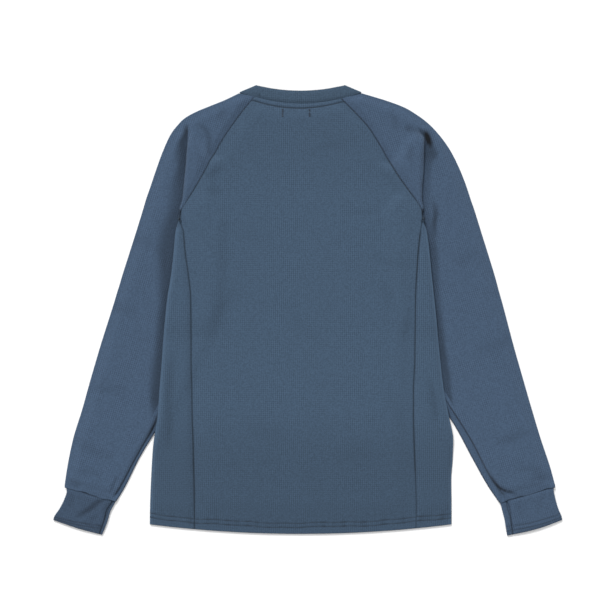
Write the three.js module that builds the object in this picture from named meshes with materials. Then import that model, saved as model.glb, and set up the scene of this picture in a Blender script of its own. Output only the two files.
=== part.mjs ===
// A long-sleeved raglan thermal top, laid flat on its front with its back up.
// Millimetres. The collar points to +Y, the surface that the top lies on is Z = 0.
// "Left" and "right" are the viewer's, looking down on the back.
import * as THREE from 'three';

// Cloth and seams
const CLOTH = 1.0;
const LAYER_GAP = 0.3;
const SEAM_GAP = 0.35;
const LAYER_PITCH = CLOTH + LAYER_GAP;
const STACK_PITCH = 2 * LAYER_PITCH;
const LAYER_OFFSET = LAYER_PITCH / 2;
const STACK_HALF = LAYER_OFFSET + CLOTH / 2;
const BEND_STEPS = 3;
const BEND_STEP = STACK_PITCH / 2;
const FOLD_REACH = BEND_STEP * Math.cos(Math.PI / 6) + STACK_HALF;
const LEFT = -1;
const RIGHT = 1;

// Sleeve sections from the neck to the armpit. outer = fold at the shoulder, back and front = raglan
// seams, share = where the pleat's edge lies on the section, turn = how far the pleat has folded over
// in degrees, flap = depth of the pleat that is hidden under the cap.
const CAP_COLUMNS = ['outer', 'back', 'front', 'share', 'turn', 'flap'];
const CAP_LEFT = [
  [[-108.5, 342.5], [-84.0, 337.5], [-97.5, 294.5], 0.17, 0, 1],
  [[-131.0, 331.8], [-102.5, 315.0], [-107.0, 283.5], 0.17, 0, 1],
  [[-155.0, 322.2], [-119.5, 292.0], [-118.0, 272.0], 0.17, 0, 1],
  [[-177.0, 313.1], [-136.5, 266.5], [-132.5, 259.5], 0.17, 0, 1],
  [[-196.5, 301.7], [-148.0, 246.0], [-148.0, 246.0], 0.17, 0, 1],
  [[-205.5, 292.3], [-154.5, 236.0], [-154.5, 236.0], 0.30, 60, 0.3],
  [[-214.5, 281.0], [-159.0, 226.5], [-159.0, 226.5], 0.41, 120, 0.3],
  [[-227.5, 254.3], [-170.0, 206.5], [-170.0, 206.5], 0.60, 180, 12.5],
  [[-241.0, 217.5], [-181.5, 187.0], [-181.5, 187.0], 0.757, 180, 31.5],
  [[-248.5, 195.0], [-191.0, 172.0], [-191.0, 172.0], 0.878, 180, 44],
  [[-256.2, 172.5], [-199.5, 157.0], [-199.5, 157.0], 0.94, 180, 54],
];
const CAP_RIGHT = [
  [[85.5, 342.5], [52.5, 334.5], [71.5, 294.5], 0.15, 0, 1],
  [[104.5, 337.0], [76.0, 311.0], [82.5, 283.5], 0.15, 0, 1],
  [[130.0, 329.0], [96.0, 289.0], [94.5, 272.0], 0.15, 0, 1],
  [[153.6, 319.8], [114.0, 261.0], [108.5, 258.0], 0.15, 0, 1],
  [[176.0, 306.2], [129.0, 234.5], [129.0, 234.5], 0.16, 0, 1],
  [[188.6, 296.6], [134.0, 226.5], [134.0, 226.5], 0.19, 60, 0.3],
  [[199.8, 285.8], [139.5, 217.0], [139.5, 217.0], 0.24, 120, 0.3],
  [[224.2, 254.0], [152.0, 199.0], [152.0, 199.0], 0.57, 180, 9.5],
  [[242.2, 217.5], [163.0, 184.0], [163.0, 184.0], 0.776, 180, 23.5],
  [[252.0, 191.5], [172.5, 171.0], [172.5, 171.0], 0.897, 180, 33],
  [[259.2, 169.5], [179.5, 158.5], [179.5, 158.5], 0.955, 180, 42],
];

// Sleeve sections from the armpit to the cuff seam. inner = deepest point of the section,
// turn and flap = the end of the pleat, back_turn = how far the flap's tip still curls up,
// bend = length of one step in a bend, close = how far the two layers close at the underarm seam.
const ARM_COLUMNS = ['outer', 'inner', 'turn', 'flap', 'back_turn', 'bend', 'close'];
const CLOSED = 77;
const ARM_LEFT = [
  [[-257.0, 169.5], [-147.0, 141.0], 180, 53.0, 120, 0.40, 20],
  [[-257.9, 166.5], [-147.5, 138.0], 180, 52.5, 60, 0.40, 50],
  [[-258.8, 163.5], [-148.0, 135.0], 180, 50.0, 0, 1.30, CLOSED],
  [[-270.0, 127.0], [-149.5, 92.0], 180, 36.0, 0, 1.30, CLOSED],
  [[-283.0, 86.0], [-151.5, 48.0], 180, 22.0, 0, 1.30, CLOSED],
  [[-295.0, 48.0], [-153.0, 8.5], 180, 6.0, 0, 1.30, CLOSED],
  [[-297.5, 39.0], [-154.0, 0.0], 120, 0.3, 0, 0.40, CLOSED],
  [[-300.5, 30.0], [-156.0, -10.0], 60, 0.3, 0, 0.40, CLOSED],
  [[-304.5, 16.5], [-159.0, -26.5], 0, 6.0, 0, 1.30, CLOSED],
  [[-328.0, -58.0], [-194.0, -97.5], 0, 6.0, 0, 1.30, CLOSED],
  [[-343.2, -110.0], [-217.5, -145.0], 0, 6.0, 0, 1.30, CLOSED],
  [[-356.5, -157.5], [-241.5, -189.0], 0, 6.0, 0, 1.30, CLOSED],
  [[-371.0, -205.0], [-265.0, -232.0], 0, 6.0, 0, 1.30, CLOSED],
  [[-381.0, -255.5], [-290.5, -282.5], 0, 6.0, 0, 1.30, CLOSED],
  [[-384.0, -276.0], [-301.5, -300.5], 0, 6.0, 0, 1.30, CLOSED],
];
const ARM_RIGHT = [
  [[260.0, 167.5], [137.5, 148.5], 180, 41.0, 120, 0.40, 20],
  [[260.7, 165.5], [138.0, 143.5], 180, 40.5, 60, 0.40, 50],
  [[261.4, 163.5], [138.0, 140.5], 180, 38.5, 0, 1.30, CLOSED],
  [[273.3, 125.5], [142.5, 93.5], 180, 28.0, 0, 1.30, CLOSED],
  [[285.2, 87.5], [147.5, 52.5], 180, 17.0, 0, 1.30, CLOSED],
  [[295.9, 52.5], [153.5, 16.5], 180, 6.0, 0, 1.30, CLOSED],
  [[298.5, 43.0], [155.0, 6.0], 120, 0.3, 0, 0.40, CLOSED],
  [[301.5, 31.5], [156.5, -6.0], 60, 0.3, 0, 0.40, CLOSED],
  [[305.8, 16.5], [158.5, -21.5], 0, 6.0, 0, 1.30, CLOSED],
  [[324.8, -55.0], [183.5, -97.5], 0, 6.0, 0, 1.30, CLOSED],
  [[339.6, -107.0], [209.0, -145.0], 0, 6.0, 0, 1.30, CLOSED],
  [[353.3, -154.5], [236.0, -189.0], 0, 6.0, 0, 1.30, CLOSED],
  [[367.6, -202.0], [259.2, -232.5], 0, 6.0, 0, 1.30, CLOSED],
  [[383.2, -249.0], [285.5, -279.0], 0, 6.0, 0, 1.30, CLOSED],
  [[390.5, -276.0], [301.0, -301.5], 0, 6.0, 0, 1.30, CLOSED],
];
const FLOOR_STEPS = 3;
const CAP_STEPS = 2;
const CLOSE_STEPS = 2;
const CLOSE_LENGTH = 0.25;

// Body rows below the raglan seams. edge = side fold, seam = side seam on the back, curl = how far the
// front has wrapped round the side, start = where the body comes down beside the sleeve beneath it,
// stacks = how many folded layers of sleeve it lies on, sag = how far the row bows down in the middle.
const BODY_COLUMNS = ['y', 'edge_left', 'seam_left', 'seam_right', 'edge_right', 'curl',
  'start_left', 'start_right', 'stacks', 'sag'];
const BODY_ROWS = [
  [150.0, -200.4, -200.4, 180.4, 180.4, 0, -148.0, 136.0, 2, 0],
  [147.0, -203.8, -200.9, 180.7, 183.4, 0, -146.0, 136.0, 2, 0],
  [144.5, -204.0, -201.1, 180.7, 183.2, 60, -145.0, 136.0, 2, 0],
  [142.0, -204.1, -201.2, 180.6, 183.0, 120, -144.0, 136.0, 2, 0],
  [139.5, -204.6, -201.0, 180.2, 183.2, 180, -143.5, 136.0, 2, 0],
  [125.5, -208.5, -196.5, 178.0, 187.5, 180, -146.0, 138.0, 2, 0],
  [93.5, -211.5, -193.5, 174.5, 192.0, 180, -147.0, 140.5, 2, 0],
  [57.5, -215.5, -188.5, 172.0, 195.5, 180, -148.5, 145.0, 2, 0],
  [16.5, -222.0, -184.5, 170.0, 200.0, 180, -150.5, 151.0, 2, 0],
  [-12.0, -225.0, -184.2, 169.7, 203.0, 180, -153.5, 154.0, 2, 0],
  [-50.0, -228.5, -184.0, 169.3, 206.5, 180, -168.5, 165.5, 1, 0],
  [-80.0, -230.5, -184.0, 169.0, 209.5, 180, -183.5, 175.5, 1, 0],
  [-129.0, -234.5, -183.0, 167.0, 215.5, 180, -207.5, 196.5, 1, 0],
  [-165.5, -237.0, -182.5, 167.0, 222.5, 180, -226.5, 215.5, 1, 0],
  [-205.0, -243.0, -181.0, 168.0, 229.5, 180, -243.5, 232.0, 1, 1],
  [-232.0, -245.5, -180.5, 169.0, 229.0, 180, -262.0, 250.0, 1, 3],
  [-268.0, -247.5, -179.5, 170.5, 226.5, 180, -280.0, 270.0, 0, 6],
  [-307.5, -249.0, -179.0, 171.5, 227.0, 180, -300.0, 290.0, 0, 10],
  [-338.0, -249.5, -179.0, 171.0, 227.0, 180, -310.0, 300.0, 0, 15],
];
const RAMP = 24;
const RAMP_MIDDLE = 0.45;
const RAGLAN_START = 6;
const CURL_TAIL = 1.2;
const POINT_SPACING = 0.5;
const CAP_START_LEFT = [null, null, null, null, null, null, null, null, -165.0, -158.5, -151.0];
const CAP_START_RIGHT = [null, null, null, null, null, null, null, null, 155.0, 146.5, 138.5];

// Necklines: how far the top row of each panel dips below the tops of the raglan seams
const BACK_NECK = { middle: -15.8, half: 68.5, dip: 9.5 };
const FRONT_NECK = { middle: -13, half: 84.5, dip: 57 };

// Neckband
const BAND_WIDTH = 20;
const BAND_SIDE_LEFT = { seam: [-107.6, 343.4], free: [-80.0, 355.0] };
const BAND_SIDE_RIGHT = { seam: [84.6, 343.5], free: [57.5, 355.0] };
const BAND_TOP = { y: 346.9, middle: -11.5, rise: 0.00175 };

// Cuff sections from the sleeve to the hem. seam = how far the cuff's own seam lies from its inner
// fold, slit = how wide that seam stands open for the thumb.
const CUFF_COLUMNS = ['outer', 'inner', 'seam', 'slit'];
const CUFF_LEFT = [
  [[-382.2, -276.8], [-302.8, -300.6], 4.5, SEAM_GAP],
  [[-380.5, -284.5], [-306.0, -307.0], 5.0, 1.6],
  [[-384.0, -297.0], [-312.0, -318.5], 5.5, 2.0],
  [[-391.0, -311.0], [-316.0, -332.5], 5.5, SEAM_GAP],
  [[-400.5, -326.0], [-321.0, -345.5], 5.0, SEAM_GAP],
  [[-402.0, -331.0], [-324.5, -354.0], 4.5, SEAM_GAP],
];
const CUFF_RIGHT = [
  [[388.7, -276.8], [302.3, -301.7], 10.5, SEAM_GAP],
  [[388.5, -283.0], [304.5, -306.5], 10.5, 1.6],
  [[391.0, -297.0], [307.5, -318.0], 10.5, 2.0],
  [[395.5, -312.5], [311.0, -332.0], 10.0, SEAM_GAP],
  [[400.5, -324.5], [313.0, -345.0], 9.5, SEAM_GAP],
  [[402.0, -331.0], [315.0, -355.95], 9.0, SEAM_GAP],
];
const CUFF_STEPS = 3;

// Looks
const BODY_COLOUR = 0x47596e;
const SLEEVE_COLOUR = 0x4a5c72;
const BAND_COLOUR = 0x44566b;
const ROUGHNESS = 0.95;

function radians(degrees) {
  return (degrees * Math.PI) / 180;
}

function lerp(from, to, share) {
  return from + (to - from) * share;
}

function records(columns, rows) {
  return rows.map((row) => Object.fromEntries(columns.map((column, index) => [column, row[index]])));
}

// A wall point: the same spot on the cloth's two faces
function wallPoint(x, y, z, normal) {
  const half = CLOTH / 2;
  return {
    outer: new THREE.Vector3(x + normal[0] * half, y + normal[1] * half, z + normal[2] * half),
    inner: new THREE.Vector3(x - normal[0] * half, y - normal[1] * half, z - normal[2] * half),
  };
}

// A closed solid from rows of wall points. With ring, the last row joins the first.
function sheetSolid(rows, ring = false) {
  const columns = rows[0].length;
  const faces = rows.flat();
  const positions = [];
  faces.forEach((point) => positions.push(...point.outer.toArray()));
  faces.forEach((point) => positions.push(...point.inner.toArray()));
  const outer = (row, column) => (row % rows.length) * columns + column;
  const inner = (row, column) => outer(row, column) + faces.length;
  const index = [];
  const quad = (a, b, c, d, rising) => {
    index.push(...(rising ? [a, b, c, a, c, d] : [a, b, d, b, c, d]));
  };
  const lastRow = ring ? rows.length : rows.length - 1;
  for (let row = 0; row < lastRow; row += 1) {
    for (let column = 0; column < columns - 1; column += 1) {
      const rising = rows[row][column + 1].outer.x >= rows[row][column].outer.x;
      quad(outer(row, column), outer(row, column + 1), outer(row + 1, column + 1),
        outer(row + 1, column), rising);
      quad(inner(row, column), inner(row + 1, column), inner(row + 1, column + 1),
        inner(row, column + 1), rising);
    }
    quad(outer(row, 0), outer(row + 1, 0), inner(row + 1, 0), inner(row, 0), true);
    const edge = columns - 1;
    quad(outer(row, edge), inner(row, edge), inner(row + 1, edge), outer(row + 1, edge), true);
  }
  if (!ring) {
    for (let column = 0; column < columns - 1; column += 1) {
      quad(outer(0, column), inner(0, column), inner(0, column + 1), outer(0, column + 1), true);
      quad(outer(lastRow, column), outer(lastRow, column + 1), inner(lastRow, column + 1),
        inner(lastRow, column), true);
    }
  }
  const geometry = new THREE.BufferGeometry();
  geometry.setAttribute('position', new THREE.Float32BufferAttribute(positions, 3));
  geometry.setIndex(signedVolume(positions, index) < 0 ? index.reverse() : index);
  geometry.computeVertexNormals();
  return geometry;
}

function signedVolume(positions, index) {
  const corner = (place) => new THREE.Vector3().fromArray(positions, index[place] * 3);
  let volume = 0;
  for (let place = 0; place < index.length; place += 3) {
    volume += corner(place).dot(corner(place + 1).cross(corner(place + 2))) / 6;
  }
  return volume;
}

// Follows a section from its outer fold inwards. Each step is a length and a turn upwards.
function foldPath(steps) {
  const path = [{ along: 0, up: 0, heading: 0 }];
  let { along, up, heading } = path[0];
  steps.forEach(({ length, turn }) => {
    heading += radians(turn) / 2;
    along += length * Math.cos(heading);
    up += length * Math.sin(heading);
    heading += radians(turn) / 2;
    path.push({ along, up, heading });
  });
  return path;
}

function repeatStep(count, length, turn) {
  return Array.from({ length: count }, () => ({ length: length / count, turn: turn / count }));
}

function sectionPath(floor, turn, flap, backTurn, bend, cap) {
  return foldPath([
    ...repeatStep(FLOOR_STEPS, floor, 0),
    ...repeatStep(BEND_STEPS, BEND_STEPS * bend, turn),
    ...repeatStep(1, flap, 0),
    ...repeatStep(BEND_STEPS, BEND_STEPS * bend, -backTurn),
    ...repeatStep(CAP_STEPS, cap, 0),
  ]);
}

function planDirection(from, to) {
  const step = new THREE.Vector2(to[0] - from[0], to[1] - from[1]);
  return { unit: step.clone().normalize(), length: step.length() };
}

// Section of the cap: floor, pleat and cap from the shoulder fold to the raglan seams
function capSection(cap) {
  const back = planDirection(cap.outer, cap.back);
  const front = planDirection(cap.outer, cap.front);
  const span = back.length - STACK_HALF - SEAM_GAP / 2;
  const frontSpan = front.length - STACK_HALF - SEAM_GAP / 2;
  const folded = cap.turn / 180;
  const floor = cap.share * back.length - STACK_HALF + (cap.flap + FOLD_REACH) * folded;
  const open = sectionPath(floor, cap.turn, cap.flap, cap.turn, BEND_STEP, 0);
  const capLength = span - open[open.length - 1].along - CLOSE_STEPS * CLOSE_LENGTH;
  const path = sectionPath(floor, cap.turn, cap.flap, cap.turn, BEND_STEP, capLength);
  return { outer: cap.outer, back: back.unit, front: front.unit, stretch: frontSpan / span, path, close: 0 };
}

// Section of the arm: a flattened tube that closes at the underarm seam
function armSection(arm) {
  const { unit, length } = planDirection(arm.outer, arm.inner);
  const tip = CAP_STEPS * CLOSE_LENGTH;
  const open = sectionPath(0, arm.turn, arm.flap, arm.back_turn, arm.bend, tip);
  const reach = Math.max(...open.map((point) => point.along));
  const floor = length - 2 * STACK_HALF - reach;
  const path = sectionPath(floor, arm.turn, arm.flap, arm.back_turn, arm.bend, tip);
  return { outer: arm.outer, back: unit, front: unit, stretch: 1, path, close: arm.close };
}

// One row of wall points round a section: up the back layer, round the shoulder fold, down the front
function sectionRow(section) {
  const place = (along, up, normalAlong, normalUp, blend) => {
    const unit = section.back.clone().lerp(section.front, blend).normalize();
    const reach = STACK_HALF + along * lerp(1, section.stretch, blend);
    return wallPoint(section.outer[0] + unit.x * reach, section.outer[1] + unit.y * reach,
      STACK_HALF + up, [unit.x * normalAlong, unit.y * normalAlong, normalUp]);
  };
  const layer = (point, side, blend, angle, forward) => {
    const across = [-Math.sin(point.heading) * side, Math.cos(point.heading) * side];
    const ahead = [Math.cos(point.heading), Math.sin(point.heading)];
    const normal = [0, 1].map((axis) => across[axis] * Math.cos(angle) + ahead[axis] * Math.sin(angle));
    return place(point.along + ahead[0] * forward + normal[0] * LAYER_OFFSET,
      point.up + ahead[1] * forward + normal[1] * LAYER_OFFSET, normal[0], normal[1], blend);
  };
  const end = section.path[section.path.length - 1];
  const closing = (side, blend) => Array.from({ length: CLOSE_STEPS }, (_, index) => {
    const step = index + 1;
    const forward = step * CLOSE_LENGTH * (1 - section.close / CLOSED);
    return layer(end, side, blend, radians((section.close * step) / CLOSE_STEPS), forward);
  });
  const backLayer = [...section.path.map((point) => layer(point, 1, 0, 0, 0)), ...closing(1, 0)];
  const frontLayer = [...section.path.map((point) => layer(point, -1, 1, 0, 0)), ...closing(-1, 1)];
  const fold = [1, 2].map((step) => {
    const angle = radians((180 * step) / 3);
    const normal = [-Math.sin(angle), Math.cos(angle)];
    return place(normal[0] * LAYER_OFFSET, normal[1] * LAYER_OFFSET, normal[0], normal[1], step / 3);
  });
  return [...backLayer.reverse(), ...fold, ...frontLayer];
}

function sleeveSections(capRows, armRows) {
  return [
    ...records(CAP_COLUMNS, capRows).map(capSection),
    ...records(ARM_COLUMNS, armRows).map(armSection),
  ];
}

// Height of the cap beside each raglan seam point, which the body shares
function capLifts(sections) {
  return sections.slice(0, CAP_LEFT.length).map(({ path }) => path[path.length - 1].up);
}

// Rows of the body: one for each pair of raglan seam points, then those below the armpit
function bodyRows(leftSections, rightSections) {
  const capLeft = records(CAP_COLUMNS, CAP_LEFT);
  const capRight = records(CAP_COLUMNS, CAP_RIGHT);
  const liftsLeft = capLifts(leftSections);
  const liftsRight = capLifts(rightSections);
  const raglan = capLeft.map((left, row) => {
    const right = capRight[row];
    return {
      back: { left: left.back, right: right.back },
      front: { left: left.front, right: right.front },
      curl: 0,
      start: {
        left: CAP_START_LEFT[row] ?? Math.max(left.back[0], left.front[0]) + RAGLAN_START,
        right: CAP_START_RIGHT[row] ?? Math.min(right.back[0], right.front[0]) - RAGLAN_START,
      },
      lift: { left: liftsLeft[row], right: liftsRight[row] },
      sag: 0,
    };
  });
  const lower = records(BODY_COLUMNS, BODY_ROWS).map((row) => ({
    back: { left: [row.seam_left, row.y], right: [row.seam_right, row.y] },
    front: { left: [row.edge_left, row.y], right: [row.edge_right, row.y] },
    curl: row.curl,
    start: { left: row.start_left, right: row.start_right },
    lift: { left: row.stacks * STACK_PITCH, right: row.stacks * STACK_PITCH },
    sag: row.sag,
  }));
  return [...raglan, ...lower];
}

// Height of the middle between the body's two layers
function bodyHeight(row, x) {
  const ramp = (distance) => {
    const share = distance / RAMP;
    if (share <= 0) return 1;
    if (share >= 1) return 0;
    return share < 0.5 ? lerp(1, RAMP_MIDDLE, share * 2) : lerp(RAMP_MIDDLE, 0, share * 2 - 1);
  };
  return STACK_HALF + row.lift.left * ramp(x - row.start.left) + row.lift.right * ramp(row.start.right - x);
}

// Bends of the ramp between two places, kept in order and a little apart
function rampPlaces(start, side, from, to) {
  const low = Math.min(from, to);
  const high = Math.max(from, to);
  return [0, 0.5, 1].map((share, index) => {
    const place = start - side * share * RAMP;
    const near = index + 1;
    const far = 3 - index;
    const [before, after] = side === LEFT ? [near, far] : [far, near];
    return THREE.MathUtils.clamp(place, low + before * POINT_SPACING, high - after * POINT_SPACING);
  });
}

// Places across a panel from its left edge to its right edge
function panelPlaces(row, left, right) {
  const leftRamp = rampPlaces(row.start.left, LEFT, left, (left + right) / 2 - 15);
  const rightRamp = rampPlaces(row.start.right, RIGHT, (left + right) / 2 + 15, right).reverse();
  const from = leftRamp[2];
  const to = rightRamp[0];
  const middle = [0.25, 0.5, 0.75].map((share) => lerp(from, to, share));
  return [left, ...leftRamp, ...middle, ...rightRamp, right];
}

function rowY(row, x, ends, neck, top, bottom) {
  const share = (x - ends.left[0]) / (ends.right[0] - ends.left[0]);
  const level = lerp(ends.left[1], ends.right[1], share);
  const side = (x - neck.middle) / neck.half;
  const fade = Math.max(0, (level - bottom) / (top - bottom));
  const dip = neck.dip * Math.max(0, 1 - side * side) * Math.min(1, fade);
  const across = (x - row.front.left[0]) / (row.front.right[0] - row.front.left[0]);
  return level - dip - row.sag * 4 * across * (1 - across);
}

function backPanel(rows) {
  const top = rows[0].back.left[1];
  const bottom = rows[CAP_LEFT.length - 1].back.left[1];
  return rows.map((row) => {
    const left = row.back.left[0] + SEAM_GAP / 2;
    const right = row.back.right[0] - SEAM_GAP / 2;
    return panelPlaces(row, left, right).map((x) => {
      const y = rowY(row, x, row.back, BACK_NECK, top, bottom);
      return wallPoint(x, y, bodyHeight(row, x) + LAYER_OFFSET, [0, 0, 1]);
    });
  });
}

// The front's wrap at one side: from its middle fold point round to the side seam on the back
function wrapProfile(curl, tail) {
  const path = foldPath([
    ...repeatStep(BEND_STEPS, BEND_STEPS * LAYER_OFFSET, curl),
    ...repeatStep(4, tail, 0),
  ]);
  const reach = Math.max(...path.map(({ along, heading }) => along + Math.sin(heading) * (CLOTH / 2)));
  return { path, reach };
}

function frontWrap(row, side) {
  const name = side === LEFT ? 'left' : 'right';
  const edge = row.front[name][0];
  const raglanGap = row.curl === 0 ? (-side * SEAM_GAP) / 2 : 0;
  const { path, reach } = wrapProfile(row.curl, CURL_TAIL);
  const centre = edge + raglanGap - side * reach;
  const points = path.map(({ along, up, heading }) => {
    const normal = [side * Math.sin(heading), -Math.cos(heading)];
    return { x: centre + side * along, up: up - LAYER_OFFSET, normal };
  });
  if (row.curl < 180) {
    return { centre, points };
  }
  const seam = row.back[name][0] + side * (SEAM_GAP / 2);
  const ramp = rampPlaces(row.start[name], side, centre, seam);
  [...ramp, seam].forEach((x, index) => {
    points[BEND_STEPS + 1 + index] = { x, up: LAYER_OFFSET, normal: [0, 1] };
  });
  return { centre, points, seam };
}

function frontPanel(rows) {
  const top = rows[0].front.left[1];
  const bottom = rows[CAP_LEFT.length - 1].front.left[1];
  return rows.map((row) => {
    const left = frontWrap(row, LEFT);
    const right = frontWrap(row, RIGHT);
    const y = (x) => rowY(row, x, row.front, FRONT_NECK, top, bottom);
    const wrapped = ({ points, centre }) => points.map((point, index) => {
      const height = row.curl === 180 && index > BEND_STEPS ? bodyHeight(row, point.x)
        : bodyHeight(row, centre);
      return wallPoint(point.x, y(point.x), height + point.up, [point.normal[0], 0, point.normal[1]]);
    });
    const under = (x) => wallPoint(x, y(x), bodyHeight(row, x) - LAYER_OFFSET, [0, 0, -1]);
    const seamLeft = Math.max(row.back.left[0], left.centre + 4 * POINT_SPACING);
    const seamRight = Math.min(row.back.right[0], right.centre - 4 * POINT_SPACING);
    const sideLeft = rampPlaces(row.start.left, LEFT, left.centre, seamLeft);
    const sideRight = rampPlaces(row.start.right, RIGHT, right.centre, seamRight).reverse();
    return [
      ...wrapped(left).reverse(),
      ...sideLeft.map(under),
      ...panelPlaces(row, seamLeft, seamRight).map(under),
      ...sideRight.map(under),
      ...wrapped(right),
    ];
  });
}

function middleOf(point) {
  return point.outer.clone().lerp(point.inner, 0.5);
}

// The neckband: a ring flattened with the panels, folded at the two sides
function neckband(backRows, frontRows) {
  const backSeam = backRows[0].map(middleOf).map(({ x, y }) => [x, y]);
  const wrap = BEND_STEPS + 5;
  const frontSeam = frontRows[0].slice(wrap - 1, -(wrap - 1)).map(middleOf).map(({ x, y }) => [x, y]);
  const sideFold = ({ seam, free }, order) => {
    const { unit } = planDirection(seam, free);
    const out = seam[0] < 0 ? [-unit.y, unit.x] : [unit.y, -unit.x];
    const sign = out[1] < 0 ? -1 : 1;
    return order.map((degrees) => {
      const angle = radians(degrees);
      const normal = [sign * out[0] * Math.sin(angle), sign * out[1] * Math.sin(angle), Math.cos(angle)];
      return { seam, free, normal };
    });
  };
  const leftX = BAND_SIDE_LEFT.seam[0];
  const rightX = BAND_SIDE_RIGHT.seam[0];
  const backFree = (x) => {
    const share = (x - leftX) / (rightX - leftX);
    const place = lerp(BAND_SIDE_LEFT.free[0], BAND_SIDE_RIGHT.free[0], share);
    return [place, BAND_TOP.y + BAND_TOP.rise * (place - BAND_TOP.middle) ** 2];
  };
  const back = backSeam.map((seam) => ({ seam, free: backFree(seam[0]), normal: [0, 0, 1] }));
  const frontRing = [BAND_SIDE_LEFT.seam, ...frontSeam, BAND_SIDE_RIGHT.seam];
  const front = frontSeam.map((seam, index) => {
    const { unit } = planDirection(frontRing[index], frontRing[index + 2]);
    return { seam, free: [seam[0] - unit.y * BAND_WIDTH, seam[1] + unit.x * BAND_WIDTH], normal: [0, 0, -1] };
  });
  const ring = [
    ...sideFold(BAND_SIDE_LEFT, [120, 60, 0]),
    ...back,
    ...sideFold(BAND_SIDE_RIGHT, [0, 60, 120, 180]),
    ...front.reverse(),
    ...sideFold(BAND_SIDE_LEFT, [180]),
  ];
  return ring.map(({ seam, free, normal }) => {
    const { unit, length } = planDirection(seam, free);
    return [SEAM_GAP, length / 2, length].map((distance) => wallPoint(
      seam[0] + unit.x * distance + normal[0] * LAYER_OFFSET,
      seam[1] + unit.y * distance + normal[1] * LAYER_OFFSET,
      STACK_HALF + normal[2] * LAYER_OFFSET, normal,
    ));
  });
}

// One row of a cuff: from the seam out over the back, round, and back to the seam
function cuffRow({ outer, inner, seam, slit }) {
  const { unit, length } = planDirection(outer, inner);
  const start = STACK_HALF;
  const end = length - STACK_HALF;
  const point = (along, angle) => {
    const normal = [-Math.sin(angle), Math.cos(angle)];
    const reach = along + normal[0] * LAYER_OFFSET;
    return wallPoint(outer[0] + unit.x * reach, outer[1] + unit.y * reach,
      STACK_HALF + normal[1] * LAYER_OFFSET, [unit.x * normal[0], unit.y * normal[0], normal[1]]);
  };
  const steps = Array.from({ length: CUFF_STEPS + 1 }, (_, index) => index / CUFF_STEPS);
  const seamPlace = length - seam;
  return [
    ...steps.map((share) => point(lerp(seamPlace - slit / 2, start, share), 0)),
    point(start, radians(60)),
    point(start, radians(120)),
    ...steps.map((share) => point(lerp(start, end, share), radians(180))),
    point(end, radians(240)),
    point(end, radians(300)),
    point(end, radians(360)),
    point(seamPlace + slit / 2, radians(360)),
  ];
}

function cuff(rows) {
  return records(CUFF_COLUMNS, rows).map(cuffRow);
}

function piece(name, rows, colour, ring = false) {
  const material = new THREE.MeshStandardMaterial({ color: colour, roughness: ROUGHNESS, metalness: 0 });
  const mesh = new THREE.Mesh(sheetSolid(rows, ring), material);
  mesh.name = name;
  return mesh;
}

const leftSections = sleeveSections(CAP_LEFT, ARM_LEFT);
const rightSections = sleeveSections(CAP_RIGHT, ARM_RIGHT);
const rows = bodyRows(leftSections, rightSections);
const back = backPanel(rows);
const front = frontPanel(rows);

const top = new THREE.Group();
top.name = 'thermal_top';
top.add(piece('back', back, BODY_COLOUR));
top.add(piece('front', front, BODY_COLOUR));
top.add(piece('sleeve_left', leftSections.map(sectionRow), SLEEVE_COLOUR));
top.add(piece('sleeve_right', rightSections.map(sectionRow), SLEEVE_COLOUR));
top.add(piece('cuff_left', cuff(CUFF_LEFT), SLEEVE_COLOUR));
top.add(piece('cuff_right', cuff(CUFF_RIGHT), SLEEVE_COLOUR));
top.add(piece('neckband', neckband(back, front), BAND_COLOUR, true));

export default top;
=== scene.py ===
# %% [markdown]
# # A thermal top, laid flat
#
# This lesson dresses a long-sleeved thermal top that lies on its front, so that we look at its back.
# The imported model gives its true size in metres. Each piece of cloth is made again here as a thin,
# closed shell with finer folds, and then gets its knit, its seams and its stitches.

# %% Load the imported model
import math
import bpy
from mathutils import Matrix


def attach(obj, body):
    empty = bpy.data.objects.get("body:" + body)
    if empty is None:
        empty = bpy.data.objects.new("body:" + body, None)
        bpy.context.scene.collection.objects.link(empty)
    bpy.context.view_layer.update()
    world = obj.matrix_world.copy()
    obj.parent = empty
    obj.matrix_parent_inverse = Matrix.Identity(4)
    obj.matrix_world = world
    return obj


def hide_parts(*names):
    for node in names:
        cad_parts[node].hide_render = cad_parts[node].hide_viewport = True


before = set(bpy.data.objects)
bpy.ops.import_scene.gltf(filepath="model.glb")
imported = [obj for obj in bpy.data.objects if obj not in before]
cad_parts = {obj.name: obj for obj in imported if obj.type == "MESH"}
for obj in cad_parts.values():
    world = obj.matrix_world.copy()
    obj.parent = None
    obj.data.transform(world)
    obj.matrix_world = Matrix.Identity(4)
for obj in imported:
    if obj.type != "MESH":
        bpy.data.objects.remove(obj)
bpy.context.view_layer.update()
from types import SimpleNamespace

import bpy
import numpy as np
from mathutils import Vector

bpy.ops.object.select_all(action="DESELECT")
print("nodes", sorted(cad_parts))

# %% [markdown]
# ## Sizes
#
# All sizes are in millimetres, as on a maker's sheet, and turn to metres where a mesh is made.
# The tables repeat the part's own: the cloth lies where its solid lies. Each sleeve starts flat at
# the neck, folds under the body in a pleat that deepens to the armpit, and ends as a flat tube.

# %% Cloth and layers
MM = 0.001
CLOTH = 1.0
SEAM_GAP = 0.35
# two layers lie this far above and below the middle of their pair, and pairs are stacked at a pitch
LAYER_OFFSET = 0.65
STACK_HALF = 1.15
STACK_PITCH = 2.6
# how many steps a row takes along each part of a sleeve's section, and the space between rows
FLOOR_STEPS, BEND_STEPS, FLAP_STEPS, CAP_STEPS, CLOSE_STEPS = 40, 8, 8, 26, 5
ROW_SPACING = 4.0
# at its seam a layer bends down over this length, by this many degrees where it is closed
CLOSE_LENGTH = 0.5
CLOSED = 77
LEFT, RIGHT = -1, 1
print("one layer is", CLOTH, "mm, a folded pair is", STACK_HALF * 2, "mm")

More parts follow.
